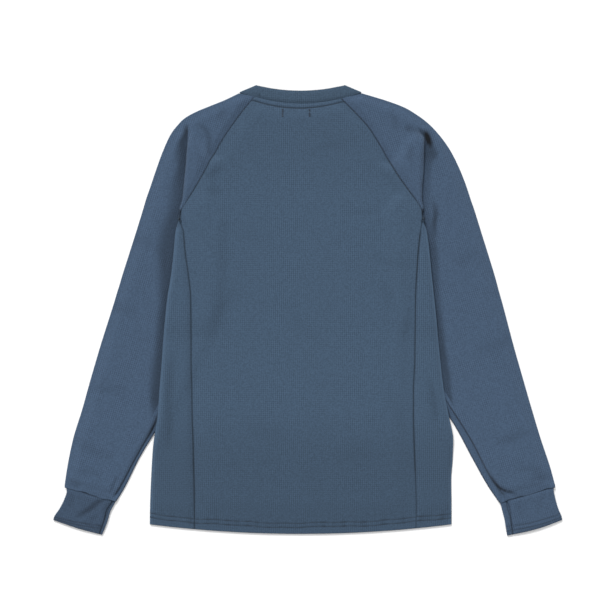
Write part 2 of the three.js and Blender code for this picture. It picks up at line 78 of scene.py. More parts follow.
# %% Sleeve sections from the neck to the armpit
# outer fold, raglan seam on the back, raglan seam on the front, share, turn, flap
CAP = {
    LEFT: [
        ((-108.5, 342.5), (-84.0, 337.5), (-97.5, 294.5), 0.17, 0, 1),
        ((-131.0, 331.8), (-102.5, 315.0), (-107.0, 283.5), 0.17, 0, 1),
        ((-155.0, 322.2), (-119.5, 292.0), (-118.0, 272.0), 0.17, 0, 1),
        ((-177.0, 313.1), (-136.5, 266.5), (-132.5, 259.5), 0.17, 0, 1),
        ((-196.5, 301.7), (-148.0, 246.0), (-148.0, 246.0), 0.17, 0, 1),
        ((-205.5, 292.3), (-154.5, 236.0), (-154.5, 236.0), 0.30, 60, 0.3),
        ((-214.5, 281.0), (-159.0, 226.5), (-159.0, 226.5), 0.41, 120, 0.3),
        ((-227.5, 254.3), (-170.0, 206.5), (-170.0, 206.5), 0.60, 180, 12.5),
        ((-241.0, 217.5), (-181.5, 187.0), (-181.5, 187.0), 0.757, 180, 31.5),
        ((-248.5, 195.0), (-191.0, 172.0), (-191.0, 172.0), 0.878, 180, 44),
        ((-256.2, 172.5), (-199.5, 157.0), (-199.5, 157.0), 0.94, 180, 54),
    ],
    RIGHT: [
        ((85.5, 342.5), (52.5, 334.5), (71.5, 294.5), 0.15, 0, 1),
        ((104.5, 337.0), (76.0, 311.0), (82.5, 283.5), 0.15, 0, 1),
        ((130.0, 329.0), (96.0, 289.0), (94.5, 272.0), 0.15, 0, 1),
        ((153.6, 319.8), (114.0, 261.0), (108.5, 258.0), 0.15, 0, 1),
        ((176.0, 306.2), (129.0, 234.5), (129.0, 234.5), 0.16, 0, 1),
        ((188.6, 296.6), (134.0, 226.5), (134.0, 226.5), 0.19, 60, 0.3),
        ((199.8, 285.8), (139.5, 217.0), (139.5, 217.0), 0.24, 120, 0.3),
        ((224.2, 254.0), (152.0, 199.0), (152.0, 199.0), 0.57, 180, 9.5),
        ((242.2, 217.5), (163.0, 184.0), (163.0, 184.0), 0.776, 180, 23.5),
        ((252.0, 191.5), (172.5, 171.0), (172.5, 171.0), 0.897, 180, 33),
        ((259.2, 169.5), (179.5, 158.5), (179.5, 158.5), 0.955, 180, 42),
    ],
}
CAP_ROWS = len(CAP[LEFT])
print(CAP_ROWS, "cap sections a side")

# %% Sleeve sections from the armpit to the cuff
# outer fold, inner fold, turn, flap, turn back, length of one bend step, closing angle
ARM = {
    LEFT: [
        ((-257.0, 169.5), (-147.0, 141.0), 180, 53.0, 120, 0.4, 20),
        ((-257.9, 166.5), (-147.5, 138.0), 180, 52.5, 60, 0.4, 50),
        ((-258.8, 163.5), (-148.0, 135.0), 180, 50.0, 0, 1.3, CLOSED),
        ((-270.0, 127.0), (-149.5, 92.0), 180, 36.0, 0, 1.3, CLOSED),
        ((-283.0, 86.0), (-151.5, 48.0), 180, 22.0, 0, 1.3, CLOSED),
        ((-295.0, 48.0), (-153.0, 8.5), 180, 6.0, 0, 1.3, CLOSED),
        ((-297.5, 39.0), (-154.0, 0.0), 120, 0.3, 0, 0.4, CLOSED),
        ((-300.5, 30.0), (-156.0, -10.0), 60, 0.3, 0, 0.4, CLOSED),
        ((-304.5, 16.5), (-159.0, -26.5), 0, 6.0, 0, 1.3, CLOSED),
        ((-328.0, -58.0), (-194.0, -97.5), 0, 6.0, 0, 1.3, CLOSED),
        ((-343.2, -110.0), (-217.5, -145.0), 0, 6.0, 0, 1.3, CLOSED),
        ((-356.5, -157.5), (-239.5, -189.0), 0, 6.0, 0, 1.3, CLOSED),
        ((-371.0, -205.0), (-265.0, -232.0), 0, 6.0, 0, 1.3, CLOSED),
        ((-381.0, -255.5), (-290.5, -282.5), 0, 6.0, 0, 1.3, CLOSED),
        ((-384.0, -276.0), (-301.5, -300.5), 0, 6.0, 0, 1.3, CLOSED),
    ],
    RIGHT: [
        ((260.0, 167.5), (137.5, 148.5), 180, 41.0, 120, 0.4, 20),
        ((260.7, 165.5), (138.0, 143.5), 180, 40.5, 60, 0.4, 50),
        ((261.4, 163.5), (138.0, 140.5), 180, 38.5, 0, 1.3, CLOSED),
        ((273.3, 125.5), (142.5, 93.5), 180, 28.0, 0, 1.3, CLOSED),
        ((285.2, 87.5), (147.5, 52.5), 180, 17.0, 0, 1.3, CLOSED),
        ((295.9, 52.5), (153.5, 16.5), 180, 6.0, 0, 1.3, CLOSED),
        ((298.5, 43.0), (155.0, 6.0), 120, 0.3, 0, 0.4, CLOSED),
        ((301.5, 31.5), (156.5, -6.0), 60, 0.3, 0, 0.4, CLOSED),
        ((305.8, 16.5), (158.5, -21.5), 0, 6.0, 0, 1.3, CLOSED),
        ((324.8, -55.0), (183.5, -97.5), 0, 6.0, 0, 1.3, CLOSED),
        ((339.6, -107.0), (209.0, -145.0), 0, 6.0, 0, 1.3, CLOSED),
        ((353.3, -154.5), (236.0, -189.0), 0, 6.0, 0, 1.3, CLOSED),
        ((367.6, -202.0), (259.2, -232.5), 0, 6.0, 0, 1.3, CLOSED),
        ((383.2, -249.0), (285.5, -279.0), 0, 6.0, 0, 1.3, CLOSED),
        ((390.5, -276.0), (301.0, -301.5), 0, 6.0, 0, 1.3, CLOSED),
    ],
}
print(len(ARM[LEFT]), "arm sections a side")

# %% Body rows below the raglan seams
# y, left edge, left seam, right seam, right edge, curl, start left, start right, stacks, sag
BODY = [
    (150.0, -200.4, -200.4, 180.4, 180.4, 0, -148.0, 136.0, 2, 0),
    (147.0, -203.8, -200.9, 180.7, 183.4, 0, -146.0, 136.0, 2, 0),
    (144.5, -204.0, -201.1, 180.7, 183.2, 60, -145.0, 136.0, 2, 0),
    (142.0, -204.1, -201.2, 180.6, 183.0, 120, -144.0, 136.0, 2, 0),
    (139.5, -204.6, -201.0, 180.2, 183.2, 180, -143.5, 136.0, 2, 0),
    (125.5, -208.5, -196.5, 178.0, 187.5, 180, -146.0, 138.0, 2, 0),
    (93.5, -211.5, -193.5, 174.5, 192.0, 180, -147.0, 140.5, 2, 0),
    (57.5, -215.5, -188.5, 172.0, 195.5, 180, -148.5, 145.0, 2, 0),
    (16.5, -222.0, -184.5, 170.0, 200.0, 180, -150.5, 151.0, 2, 0),
    (-12.0, -225.0, -184.2, 169.7, 203.0, 180, -153.5, 154.0, 2, 0),
    (-50.0, -228.5, -184.0, 169.3, 206.5, 180, -168.5, 165.5, 1, 0),
    (-80.0, -230.5, -184.0, 169.0, 209.5, 180, -183.5, 175.5, 1, 0),
    (-129.0, -234.5, -183.0, 167.0, 215.5, 180, -207.5, 196.5, 1, 0),
    (-165.5, -237.0, -182.5, 167.0, 222.5, 180, -226.5, 215.5, 1, 0),
    (-205.0, -243.0, -181.0, 168.0, 229.5, 180, -243.5, 232.0, 1, 1),
    (-232.0, -245.5, -180.5, 169.0, 229.0, 180, -262.0, 250.0, 1, 3),
    (-268.0, -247.5, -179.5, 170.5, 226.5, 180, -280.0, 270.0, 0, 6),
    (-307.5, -249.0, -179.0, 171.5, 227.0, 180, -300.0, 290.0, 0, 10),
    (-338.0, -249.5, -179.0, 171.0, 227.0, 180, -310.0, 300.0, 0, 15),
]
# the ramp over a tucked sleeve is this long, and starts this far inside the raglan seam
RAMP = 24.0
RAGLAN_START = 6.0
# cap row and the x where its ramp starts instead
CAP_START = {LEFT: {8: -165.0, 9: -158.5, 10: -151.0}, RIGHT: {8: 155.0, 9: 146.5, 10: 138.5}}
CURL_TAIL = 4.8
# middle, half width, depth of each neckline below the shoulders
NECK = {"back": (-15.8, 68.5, 9.5), "front": (-13.0, 84.5, 57.0)}
print(len(BODY), "body rows")

# %% Neckband and cuffs
BAND_WIDTH = 20.0
# each side fold's point at the seam and at the free edge
BAND_SIDE = {LEFT: ((-107.6, 343.4), (-80.0, 355.0)), RIGHT: ((84.6, 343.5), (57.5, 355.0))}
# the free edge at the back: its lowest y, the x of that point, and how fast it rises to both sides
BAND_TOP = (346.9, -11.5, 0.00175)
# outer fold, inner fold, seam's distance from the inner fold, how wide the seam stands open
CUFF = {
    LEFT: [
        ((-382.2, -276.8), (-302.8, -300.6), 4.5, 0.35),
        ((-380.5, -284.5), (-306.0, -307.0), 5.0, 1.6),
        ((-384.0, -297.0), (-312.0, -318.5), 5.5, 2.0),
        ((-391.0, -311.0), (-316.0, -332.5), 5.5, 0.35),
        ((-400.5, -326.0), (-321.0, -345.5), 5.0, 0.35),
        ((-402.0, -331.0), (-324.5, -354.0), 4.5, 0.35),
    ],
    RIGHT: [
        ((388.7, -276.8), (302.3, -301.7), 10.5, 0.35),
        ((388.5, -283.0), (304.5, -306.5), 10.5, 1.6),
        ((391.0, -297.0), (307.5, -318.0), 10.5, 2.0),
        ((395.5, -312.5), (311.0, -332.0), 10.0, 0.35),
        ((400.5, -324.5), (313.0, -345.0), 9.5, 0.35),
        ((402.0, -331.0), (315.0, -355.95), 9.0, 0.35),
    ],
}
print("neckband", BAND_WIDTH, "mm wide")

# %% [markdown]
# ## Helpers for sheets
#
# A smooth curve through the rows of a table keeps cloth from looking like folded card. The curve
# used here never overshoots its points, so a layer can't slip through its neighbour.

# %% Smooth curve through rows
def smooth_rows(knots, rows, places):
    """Rows of numbers at new places, on a curve that passes through the given rows."""
    t = np.asarray(knots, float)
    values = np.asarray(rows, float)
    shape = (len(t) - 1,) + (1,) * (values.ndim - 1)
    gaps = np.diff(t).reshape(shape)
    slopes = np.diff(values, axis=0) / gaps
    tangents = np.zeros_like(values)
    before, after = slopes[:-1], slopes[1:]
    weight_a = 2 * gaps[1:] + gaps[:-1]
    weight_b = gaps[1:] + 2 * gaps[:-1]
    same = before * after > 0
    safe_a = np.where(same, before, 1.0)
    safe_b = np.where(same, after, 1.0)
    mean = (weight_a + weight_b) / (weight_a / safe_a + weight_b / safe_b)
    tangents[1:-1] = np.where(same, mean, 0.0)
    tangents[0], tangents[-1] = slopes[0], slopes[-1]
    places = np.asarray(places, float)
    at = np.clip(np.searchsorted(t, places, side="right") - 1, 0, len(t) - 2)
    form = (len(places),) + (1,) * (values.ndim - 1)
    width = (t[at + 1] - t[at]).reshape(form)
    u = ((places - t[at]) / (t[at + 1] - t[at])).reshape(form)
    return (
        values[at] * (2 * u**3 - 3 * u**2 + 1)
        + tangents[at] * width * (u**3 - 2 * u**2 + u)
        + values[at + 1] * (3 * u**2 - 2 * u**3)
        + tangents[at + 1] * width * (u**3 - u**2)
    )


def finer(knots, spacing=ROW_SPACING, head=0.0, tail=0.0, close=1.2):
    """Places between the knots, about the spacing apart, and closer in a head and a tail."""
    edges = sorted({*knots, knots[0] + head, knots[-1] - tail})
    out = [edges[0]]
    for low, high in zip(edges[:-1], edges[1:]):
        near_end = high <= knots[0] + head + 0.01 or low >= knots[-1] - tail - 0.01
        count = max(2, int(round((high - low) / (close if near_end else spacing))))
        out.extend(np.linspace(low, high, count + 1)[1:])
    return np.array(out)


def across(width, count, rim=(0.0, 0.7, 1.5, 2.5, 4.0, 6.5)):
    """Distances across a row, closer together near both ends, where the seams are."""
    edge = np.array(rim) * min(1.0, width / 40.0)
    middle = np.linspace(edge[-1], width - edge[-1], count - 2 * len(edge) + 2)
    return np.concatenate([edge[:-1], middle, (width - edge[:-1])[::-1]])


print("a 100 mm row has places", np.round(across(100, 24)[:8], 1))

# %% [markdown]
# A sheet is a grid of points with a direction at each. Both faces of the cloth are half a wall
# away from the grid, and the rims are closed, so the mesh is one solid with a real thickness.

# %% Mesh from a grid
def unit(vectors):
    return vectors / np.maximum(np.linalg.norm(vectors, axis=-1, keepdims=True), 1e-9)


def sheet_mesh(name, middle, normal, ring=False, wall=CLOTH, shade=None):
    rows, columns = middle.shape[:2]
    outer = middle + normal * wall / 2
    inner = middle - normal * wall / 2
    points = np.concatenate([outer.reshape(-1, 3), inner.reshape(-1, 3)]) * MM
    grid = np.arange(rows * columns).reshape(rows, columns)
    if ring:
        grid = np.vstack([grid, grid[:1]])
    back = grid + rows * columns
    a, b, c, d = grid[:-1, :-1], grid[:-1, 1:], grid[1:, 1:], grid[1:, :-1]
    faces = [np.stack([a, b, c, d], -1).reshape(-1, 4)]
    e, f, g, h = back[:-1, :-1], back[:-1, 1:], back[1:, 1:], back[1:, :-1]
    faces.append(np.stack([e, h, g, f], -1).reshape(-1, 4))
    faces.append(np.stack([grid[:-1, 0], grid[1:, 0], back[1:, 0], back[:-1, 0]], -1))
    faces.append(np.stack([grid[:-1, -1], back[:-1, -1], back[1:, -1], grid[1:, -1]], -1))
    if not ring:
        faces.append(np.stack([grid[0, :-1], back[0, :-1], back[0, 1:], grid[0, 1:]], -1))
        faces.append(np.stack([grid[-1, :-1], grid[-1, 1:], back[-1, 1:], back[-1, :-1]], -1))
    quads = np.concatenate(faces)
    corner = points[quads]
    volume = np.einsum("ij,ij->i", corner[:, 0], np.cross(corner[:, 1], corner[:, 2])).sum()
    volume += np.einsum("ij,ij->i", corner[:, 0], np.cross(corner[:, 2], corner[:, 3])).sum()
    if volume < 0:
        quads = quads[:, ::-1]
    mesh = bpy.data.meshes.new(name)
    mesh.from_pydata(points.tolist(), [], quads.tolist())
    # painted shade and painted highlight for the material, one number a point
    painted_shade = np.zeros(rows * columns) if shade is None else np.asarray(shade).reshape(-1)
    layer = mesh.attributes.new("painted_shade", "FLOAT", "POINT")
    layer.data.foreach_set("value", np.tile(painted_shade, 2).astype(np.float32))
    piece = bpy.data.objects.new(name, mesh)
    bpy.context.scene.collection.objects.link(piece)
    mesh.shade_smooth()
    print(name, len(quads) * 2, "triangles")
    return piece


# %% [markdown]
# ## Creases
#
# A soft crease is a trough or ridge along a short line, with a width and a depth of its own, that
# fades out at both ends. They are placed from the photograph, in millimetres on the floor.

# %% Soft steps and creases
CREASE_ENDS = 0.7


def rise(distance, reach):
    """0 at an edge and 1 beyond the reach, without a corner."""
    u = np.clip(distance / reach, 0.0, 1.0)
    return u * u * (3 - 2 * u)


def mark(distance, width):
    """1 on a line, falling to 0 on both sides of it."""
    return np.exp(-((distance / width) ** 2))


def crease_height(points, creases):
    """How far a set of creases lifts or lowers points, given as x and y."""
    flat = points[..., :2].reshape(-1, 2)
    total = np.zeros(len(flat))
    for line, width, height in creases:
        line = np.array(line, float)
        low, high = line.min(0) - 3 * width, line.max(0) + 3 * width
        near = np.all((flat > low) & (flat < high), axis=1)
        if not near.any():
            continue
        p = flat[near]
        lengths = np.linalg.norm(np.diff(line, axis=0), axis=1)
        done = np.concatenate([[0], np.cumsum(lengths)])
        best = np.full(len(p), np.inf)
        where = np.zeros(len(p))
        for start, end, length, past in zip(line[:-1], line[1:], lengths, done):
            step = (end - start) / length
            along = np.clip((p - start) @ step, 0, length)
            away = np.linalg.norm(p - start - along[:, None] * step, axis=1)
            closer = away < best
            best = np.where(closer, away, best)
            where = np.where(closer, past + along, where)
        fade = np.sin(np.pi * np.clip(where / done[-1], 0.0, 1.0)) ** CREASE_ENDS
        total[near] += height * fade * mark(best, width)
    return total.reshape(points.shape[:-1])


print("half way up a soft step:", rise(0.5, 1.0))

# %% Creases of the caps, the body and the sleeves
# line, width, height: on the caps and the body
TOP_CREASES = [
    (((-175.5, 294.5), (-161.0, 285.0), (-154.5, 268.0), (-156.0, 251.0), (-151.0, 241.0)), 3.4, -1.3),
    (((-187.0, 284.0), (-180.0, 262.0), (-176.0, 238.0), (-177.0, 214.0)), 5.0, 1.3),
    (((-178.0, 248.0), (-169.0, 242.0), (-165.0, 231.0), (-161.0, 222.0)), 3.2, -0.9),
    (((-166.0, 262.0), (-163.0, 248.0), (-161.0, 238.0)), 4.0, 0.7),
    (((-128.0, 326.0), (-136.0, 312.0), (-140.0, 296.0)), 6.0, -0.5),
    (((-171.0, -44.0), (-140.0, -4.0), (-104.0, 40.0)), 11.0, -0.8),
    (((119.0, 46.0), (128.0, 18.0), (136.0, -11.0)), 9.0, -0.7),
    (((57.0, 155.0), (88.0, 152.0), (119.0, 155.0)), 4.5, -0.6),
    (((97.0, 80.0), (132.0, 71.0), (169.0, 68.0)), 7.0, -0.7),
    (((8.0, 252.0), (38.0, 258.0), (64.0, 269.0)), 8.0, -0.6),
    (((-160.0, 197.0), (-150.0, 186.0), (-136.0, 179.0)), 7.0, -0.7),
    (((164.0, 7.0), (158.0, -26.0), (150.0, -60.0)), 6.0, -0.9),
    (((-120.0, 118.0), (-84.0, 112.0), (-52.0, 116.0)), 9.0, -0.4),
    (((-100.0, -190.0), (-60.0, -200.0), (-30.0, -196.0)), 11.0, -0.5),
    (((40.0, -238.0), (80.0, -228.0), (120.0, -232.0)), 10.0, -0.5),
    (((120.0, -120.0), (140.0, -160.0), (146.0, -200.0)), 10.0, -0.5),
    (((-40.0, 20.0), (-10.0, -30.0), (30.0, -64.0)), 13.0, -0.4),
    (((130.0, 320.0), (138.0, 300.0), (140.0, 280.0)), 6.0, -0.5),
    (((150.0, 268.0), (160.0, 262.0), (172.0, 268.0)), 6.0, 0.9),
    (((178.0, 262.0), (177.0, 236.0), (176.0, 214.0)), 4.0, 1.0),
    (((166.0, 272.0), (164.0, 252.0), (160.0, 232.0)), 5.0, -0.9),
    (((152.0, 289.0), (166.0, 284.0), (178.0, 281.0), (188.0, 276.0)), 4.5, -2.0),
    (((190.0, -105.0), (199.5, -142.0), (199.0, -182.0)), 4.5, -1.0),
    (((-212.0, -62.0), (-217.0, -102.0), (-219.5, -142.0), (-219.5, -190.0), (-217.0, -225.0)),
     6.0, -1.1),
]
# line, width, height: on the sleeves
SLEEVE_CREASES = [
    (((176.0, 296.0), (193.0, 288.5), (204.0, 276.0), (211.5, 259.0), (216.0, 238.0)), 4.6, 2.0),
    (((-206.0, 284.0), (-199.0, 290.0), (-190.0, 293.0)), 4.0, 1.0),
    (((198.0, 176.0), (202.5, 152.0), (199.5, 134.0), (200.0, 112.0)), 4.0, -2.0),
    (((-330.0, 20.0), (-290.0, 0.0), (-262.0, -8.0)), 9.0, -0.7),
    (((-292.0, 120.0), (-262.0, 108.0), (-240.0, 106.0)), 10.0, -0.6),
    (((-350.0, -120.0), (-310.0, -128.0), (-280.0, -124.0)), 8.0, -0.7),
    (((-372.0, -205.0), (-335.0, -226.0), (-300.0, -236.0)), 8.0, -0.8),
    (((-376.0, -262.0), (-352.0, -256.0), (-322.0, -262.0)), 7.0, -0.7),
    (((330.0, -40.0), (296.0, -60.0), (262.0, -64.0)), 9.0, -0.7),
    (((276.0, 92.0), (250.0, 76.0), (226.0, 78.0)), 10.0, -0.6),
    (((354.0, -190.0), (320.0, -206.0), (290.0, -208.0)), 8.0, -0.8),
    (((378.0, -262.0), (350.0, -250.0), (322.0, -252.0)), 7.0, -0.7),
    (((287.0, -257.0), (294.0, -270.0), (303.0, -280.5), (314.0, -286.0), (326.0, -289.0)), 2.4, -2.2),
    (((-298.0, -262.0), (-306.0, -276.0), (-312.0, -290.0)), 3.0, -1.2),
    (((297.0, -276.0), (303.0, -285.0), (304.0, -294.0), (301.0, -301.0)), 1.9, -2.2),
    (((303.0, -284.0), (309.0, -291.0), (310.0, -300.0)), 1.7, -1.8),
    (((350.0, -268.0), (366.0, -264.0), (384.0, -266.0)), 4.0, -1.4),
    (((-384.0, -268.0), (-370.0, -274.0), (-356.0, -277.0)), 3.6, -1.4),
]
print(len(TOP_CREASES) + len(SLEEVE_CREASES), "creases")

# %% [markdown]
# ## Sleeves
#
# A sleeve is one closed sheet: up the back layer, round the shoulder fold and down the front layer.
# Its section is followed from the outer fold inwards, as a strip of card is folded: a floor, a bend
# up and over, a flap that runs back outwards, a bend back, and the cap that reaches the raglan seam.

# %% Section path
def fold_path(steps):
    heading = along = up = 0.0
    path = [(0.0, 0.0, 0.0)]
    for length, turn in steps:
        heading += math.radians(turn) / 2
        along += length * math.cos(heading)
        up += length * math.sin(heading)
        heading += math.radians(turn) / 2
        path.append((along, up, heading))
    return np.array(path)


FLOOR_SHARES = np.diff(across(110.0, FLOOR_STEPS + 1) / 110.0)
CAP_SHARES = np.diff(np.linspace(0, 1, CAP_STEPS + 1) ** 0.75)
BEND_SHARE = 2 * math.sin(math.radians(90 / BEND_STEPS))


def section_path(floor, turn, flap, turn_back, bend, cap):
    bend_length = bend * BEND_SHARE
    return fold_path(
        [(floor * share, 0) for share in FLOOR_SHARES]
        + [(bend_length, turn / BEND_STEPS)] * BEND_STEPS
        + [(flap / FLAP_STEPS, 0)] * FLAP_STEPS
        + [(bend_length, -turn_back / BEND_STEPS)] * BEND_STEPS
        + [(cap * share, 0) for share in CAP_SHARES]
    )


def plan(start, end):
    step = np.array(end, float) - np.array(start, float)
    length = np.linalg.norm(step)
    return step / length, length


def cap_section(outer, back, front, share, turn, flap):
    back_way, back_length = plan(outer, back)
    front_way, front_length = plan(outer, front)
    span = back_length - STACK_HALF - SEAM_GAP / 2
    front_span = front_length - STACK_HALF - SEAM_GAP / 2
    reach = STACK_PITCH / 2 + STACK_HALF
    floor = share * back_length - STACK_HALF + (flap + reach) * turn / 180
    open_path = section_path(floor, turn, flap, turn, STACK_PITCH / 2, 0)
    cap = span - open_path[-1, 0] - CLOSE_LENGTH
    path = section_path(floor, turn, flap, turn, STACK_PITCH / 2, cap)
    return np.array(outer), back_way, front_way, front_span / span, path, 0.0


def arm_section(outer, inner, turn, flap, turn_back, bend, close):
    way, length = plan(outer, inner)
    open_path = section_path(0, turn, flap, turn_back, bend, CLOSE_LENGTH)
    floor = length - 2 * STACK_HALF - open_path[:, 0].max()
    path = section_path(floor, turn, flap, turn_back, bend, CLOSE_LENGTH)
    return np.array(outer), way, way, 1.0, path, close


print("a floor of 100 mm ends at", section_path(100, 0, 1, 0, 1.3, 10)[-1, :2])

# %% [markdown]
# Each section gives a row of the grid. Its points carry the way the cloth faces, and how far they
# are along the section, so that air can be put under the top layer alone.

# %% One row of a sleeve
FOLD_ANGLES = range(20, 180, 20)


def section_row(outer, back_way, front_way, stretch, path, close):
    middle, normal = [], []

    def put(along, up, facing_along, facing_up, blend):
        way = unit(back_way + (front_way - back_way) * blend)
        reach = STACK_HALF + along * (1 + (stretch - 1) * blend)
        middle.append((*(outer + way * reach), STACK_HALF + up))
        normal.append((way[0] * facing_along, way[1] * facing_along, facing_up))

    def layer(point, side, blend, angle, forward):
        along, up, heading = point
        across_way = np.array((-math.sin(heading), math.cos(heading))) * side
        ahead = np.array((math.cos(heading), math.sin(heading)))
        facing = across_way * math.cos(angle) + ahead * math.sin(angle)
        place = np.array((along, up)) + ahead * forward + facing * LAYER_OFFSET
        put(place[0], place[1], facing[0], facing[1], blend)

    def whole_layer(side, blend, backwards):
        closing = []
        for step in range(1, CLOSE_STEPS + 1):
            share = step / CLOSE_STEPS
            forward = share * CLOSE_LENGTH * (1 - close / CLOSED)
            closing.append((path[-1], side, blend, math.radians(close * share), forward))
        calls = [(point, side, blend, 0.0, 0.0) for point in path] + closing
        for call in calls[::-1] if backwards else calls:
            layer(*call)

    whole_layer(1, 0.0, True)
    for degrees in FOLD_ANGLES:
        angle = math.radians(degrees)
        facing = (-math.sin(angle), math.cos(angle))
        put(facing[0] * LAYER_OFFSET, facing[1] * LAYER_OFFSET, *facing, degrees / 180)
    whole_layer(-1, 1.0, False)
    return np.array(middle), np.array(normal)


def sections(side):
    return [cap_section(*row) for row in CAP[side]] + [arm_section(*row) for row in ARM[side]]


def raglan_knots():
    steps = np.zeros(CAP_ROWS - 1)
    for side in (LEFT, RIGHT):
        seam = np.array([row[1] for row in CAP[side]])
        steps += np.linalg.norm(np.diff(seam, axis=0), axis=1) / 2
    return np.concatenate([[0], np.cumsum(steps)])


RAGLAN_KNOTS = raglan_knots()
SECTIONS = {side: sections(side) for side in (LEFT, RIGHT)}
print("raglan seam", round(RAGLAN_KNOTS[-1]), "mm long")

# %% [markdown]
# The pleat's edge and the body's edge hide the inner part of each sleeve. The sleeve dips towards
# that line in a soft valley, which is the darkest band in the photograph; its shade is painted into the
# colour too.

# %% Lines that the air under the cloth and its painted shade follow
COVER = {
    LEFT: [(-190.0, 288.0), (-188.5, 277.0), (-191.5, 260.0), (-192.5, 241.0), (-194.0, 222.0),
           (-196.0, 198.0), (-198.5, 163.0), (-202.0, 150.0), (-208.5, 125.5), (-211.5, 93.5),
           (-215.5, 57.5), (-222.0, 16.5), (-225.0, -12.0), (-228.5, -50.0), (-230.5, -80.0),
           (-234.5, -129.0), (-237.0, -165.5), (-243.0, -205.0), (-248.0, -232.0)],
    RIGHT: [(170.0, 290.0), (178.0, 283.5), (184.5, 276.0), (185.3, 269.0), (184.5, 258.0),
            (183.0, 240.0), (182.0, 222.0), (180.7, 190.0), (181.5, 155.0), (187.5, 125.5),
            (192.0, 93.5), (195.5, 57.5), (200.0, 16.5), (203.0, -12.0), (206.5, -50.0),
            (209.5, -80.0), (215.5, -129.0), (222.5, -165.5), (229.5, -205.0), (232.0, -225.0)],
}
# y, depth of the shade, how far it stays dark, how far it then fades
VALLEY = {
    LEFT: [(296, 0.0, 2, 8), (284, 1.2, 1, 9), (266, 0.86, 11, 9), (245, 0.85, 2, 22),
           (229, 0.8, 7, 12), (190, 0.66, 5, 24), (150, 0.68, 8, 24), (95, 0.7, 17, 22),
           (16, 0.7, 4, 14), (-63, 0.78, 4, 14), (-102, 0.78, 5, 18), (-142, 0.82, 10, 10),
           (-165, 0.5, 2, 12), (-189, 0.75, 3, 5), (-205, 0.5, 2, 4), (-232, 0.0, 2, 4)],
    RIGHT: [(290, 0.0, 4, 6), (280, 0.7, 5, 5), (266, 0.72, 9, 7), (245, 0.8, 19, 14),
            (229, 0.6, 10, 9), (206, 0.42, 10, 10), (158, 0.36, 8, 10), (135, 0.4, 8, 10),
            (95, 0.64, 11, 9), (16, 0.58, 3, 12), (-63, 0.85, 7, 9), (-102, 0.75, 10, 9),
            (-142, 0.7, 9, 6), (-172, 0.2, 2, 6), (-225, 0.0, 2, 6)],
}
# line, width, shade: the pockets at the top of each pleat, where no light gets in
POCKETS = [
    (((182.5, 284.0), (187.5, 277.0), (191.0, 267.0), (195.5, 257.0)), 5.0, 2.2),
    (((-186.0, 293.0), (-191.0, 284.0), (-194.0, 274.0), (-196.0, 262.0)), 3.2, 0.55),
    (((-199.0, 164.0), (-202.0, 151.0), (-204.5, 138.0)), 2.6, 1.1),
    (((180.0, 164.0), (182.5, 151.0), (184.5, 138.0)), 2.6, 1.1),
    (((199.0, 172.0), (201.5, 150.0), (199.5, 134.0), (201.5, 106.0)), 4.2, 0.5),
    (((-235.0, -162.0), (-240.5, -177.0), (-249.0, -194.0), (-255.0, -205.0)), 2.4, 1.3),
    (((218.0, -148.0), (222.0, -161.0), (227.0, -174.0)), 2.0, 0.9),
    (((288.0, -260.0), (294.0, -271.0), (303.0, -281.0), (314.0, -286.0), (331.0, -289.0)), 2.0, 1.1),
]
# y, distance of the underarm seam from the inner edge, where the sleeve has unfolded
EDGE_LINE = {
    LEFT: [(-160, 6.0), (-211, 5.6), (-230, 5.0), (-247, 5.6), (-265, 6.2), (-300, 7.5)],
    RIGHT: [(-150, 9.5), (-180, 10.3), (-214, 12.0), (-245, 10.8), (-265, 10.5), (-300, 12.5)],
}
# how dark the painted shade along that seam is, how far from the cuff it ends, and the arm row where it
# starts
EDGE_SHADE = {LEFT: 1.0, RIGHT: 0.75}
EDGE_END = {LEFT: 2.0, RIGHT: 16.0}
UNFOLDED_ROW = 8
print("the covering edges have", len(COVER[LEFT]), "and", len(COVER[RIGHT]), "points")

# %% Grid and valley of a sleeve
def cover_distance(points, side):
    """How far out from the covering edge a point of the sleeve lies, measured across."""
    line = np.array(COVER[side])[::-1]
    return side * (points[..., 0] - np.interp(points[..., 1], line[:, 1], line[:, 0]))


def valley_at(points, side):
    """The painted shade of the valley, and how open the cloth is beyond it."""
    rows = np.array(VALLEY[side], float)[::-1]
    depth, dark, fade = [np.interp(points[..., 1], rows[:, 0], rows[:, k]) for k in (1, 2, 3)]
    away = cover_distance(points, side)
    open_air = rise(away + 2.0, dark + fade)
    return depth * (1 - rise(away - dark * 0.8, fade)), open_air


def sleeve_grid(side):
    rows = [section_row(*section) for section in SECTIONS[side]]
    middle = np.array([row[0] for row in rows])
    normal = np.array([row[1] for row in rows])
    centre = middle[CAP_ROWS - 1:, :, :2].mean(1)
    steps = np.linalg.norm(np.diff(centre, axis=0), axis=1)
    knots = np.concatenate([RAGLAN_KNOTS, RAGLAN_KNOTS[-1] + np.cumsum(steps)])
    places = finer(knots, head=14.0, tail=10.0)
    unfold_place = knots[CAP_ROWS + UNFOLDED_ROW]
    normal = unit(smooth_rows(knots, normal, places))
    return smooth_rows(knots, middle, places), normal, places, unfold_place


print("a sleeve's row has", len(section_row(*SECTIONS[LEFT][0])[0]), "points")

# %% [markdown]
# A sleeve's row runs from the raglan seam over the cap, the pleat and the floor to the outer fold,
# and back along the front layer. Air and shade are worked out from the layer that a point is on, and
# from how far it lies from the seam, the outer fold, the neck, the cuff and the covering edge.

# %% Layers and distances of a sleeve
CAP_END = CLOSE_STEPS + CAP_STEPS + 1
LAYER = CAP_END + 2 * BEND_STEPS + FLAP_STEPS + FLOOR_STEPS
FOLD_COLUMN = LAYER + len(FOLD_ANGLES) // 2
# rows of the cap: the last flat one, the first that turns, the first that is folded flat
PLEAT_START, PLEAT_TURN, PLEAT_FLAT = 4, 5, 7
PLEAT_LEAD = 6.0
UNFOLD_LENGTH = 20.0
ARMPIT = RAGLAN_KNOTS[-1]


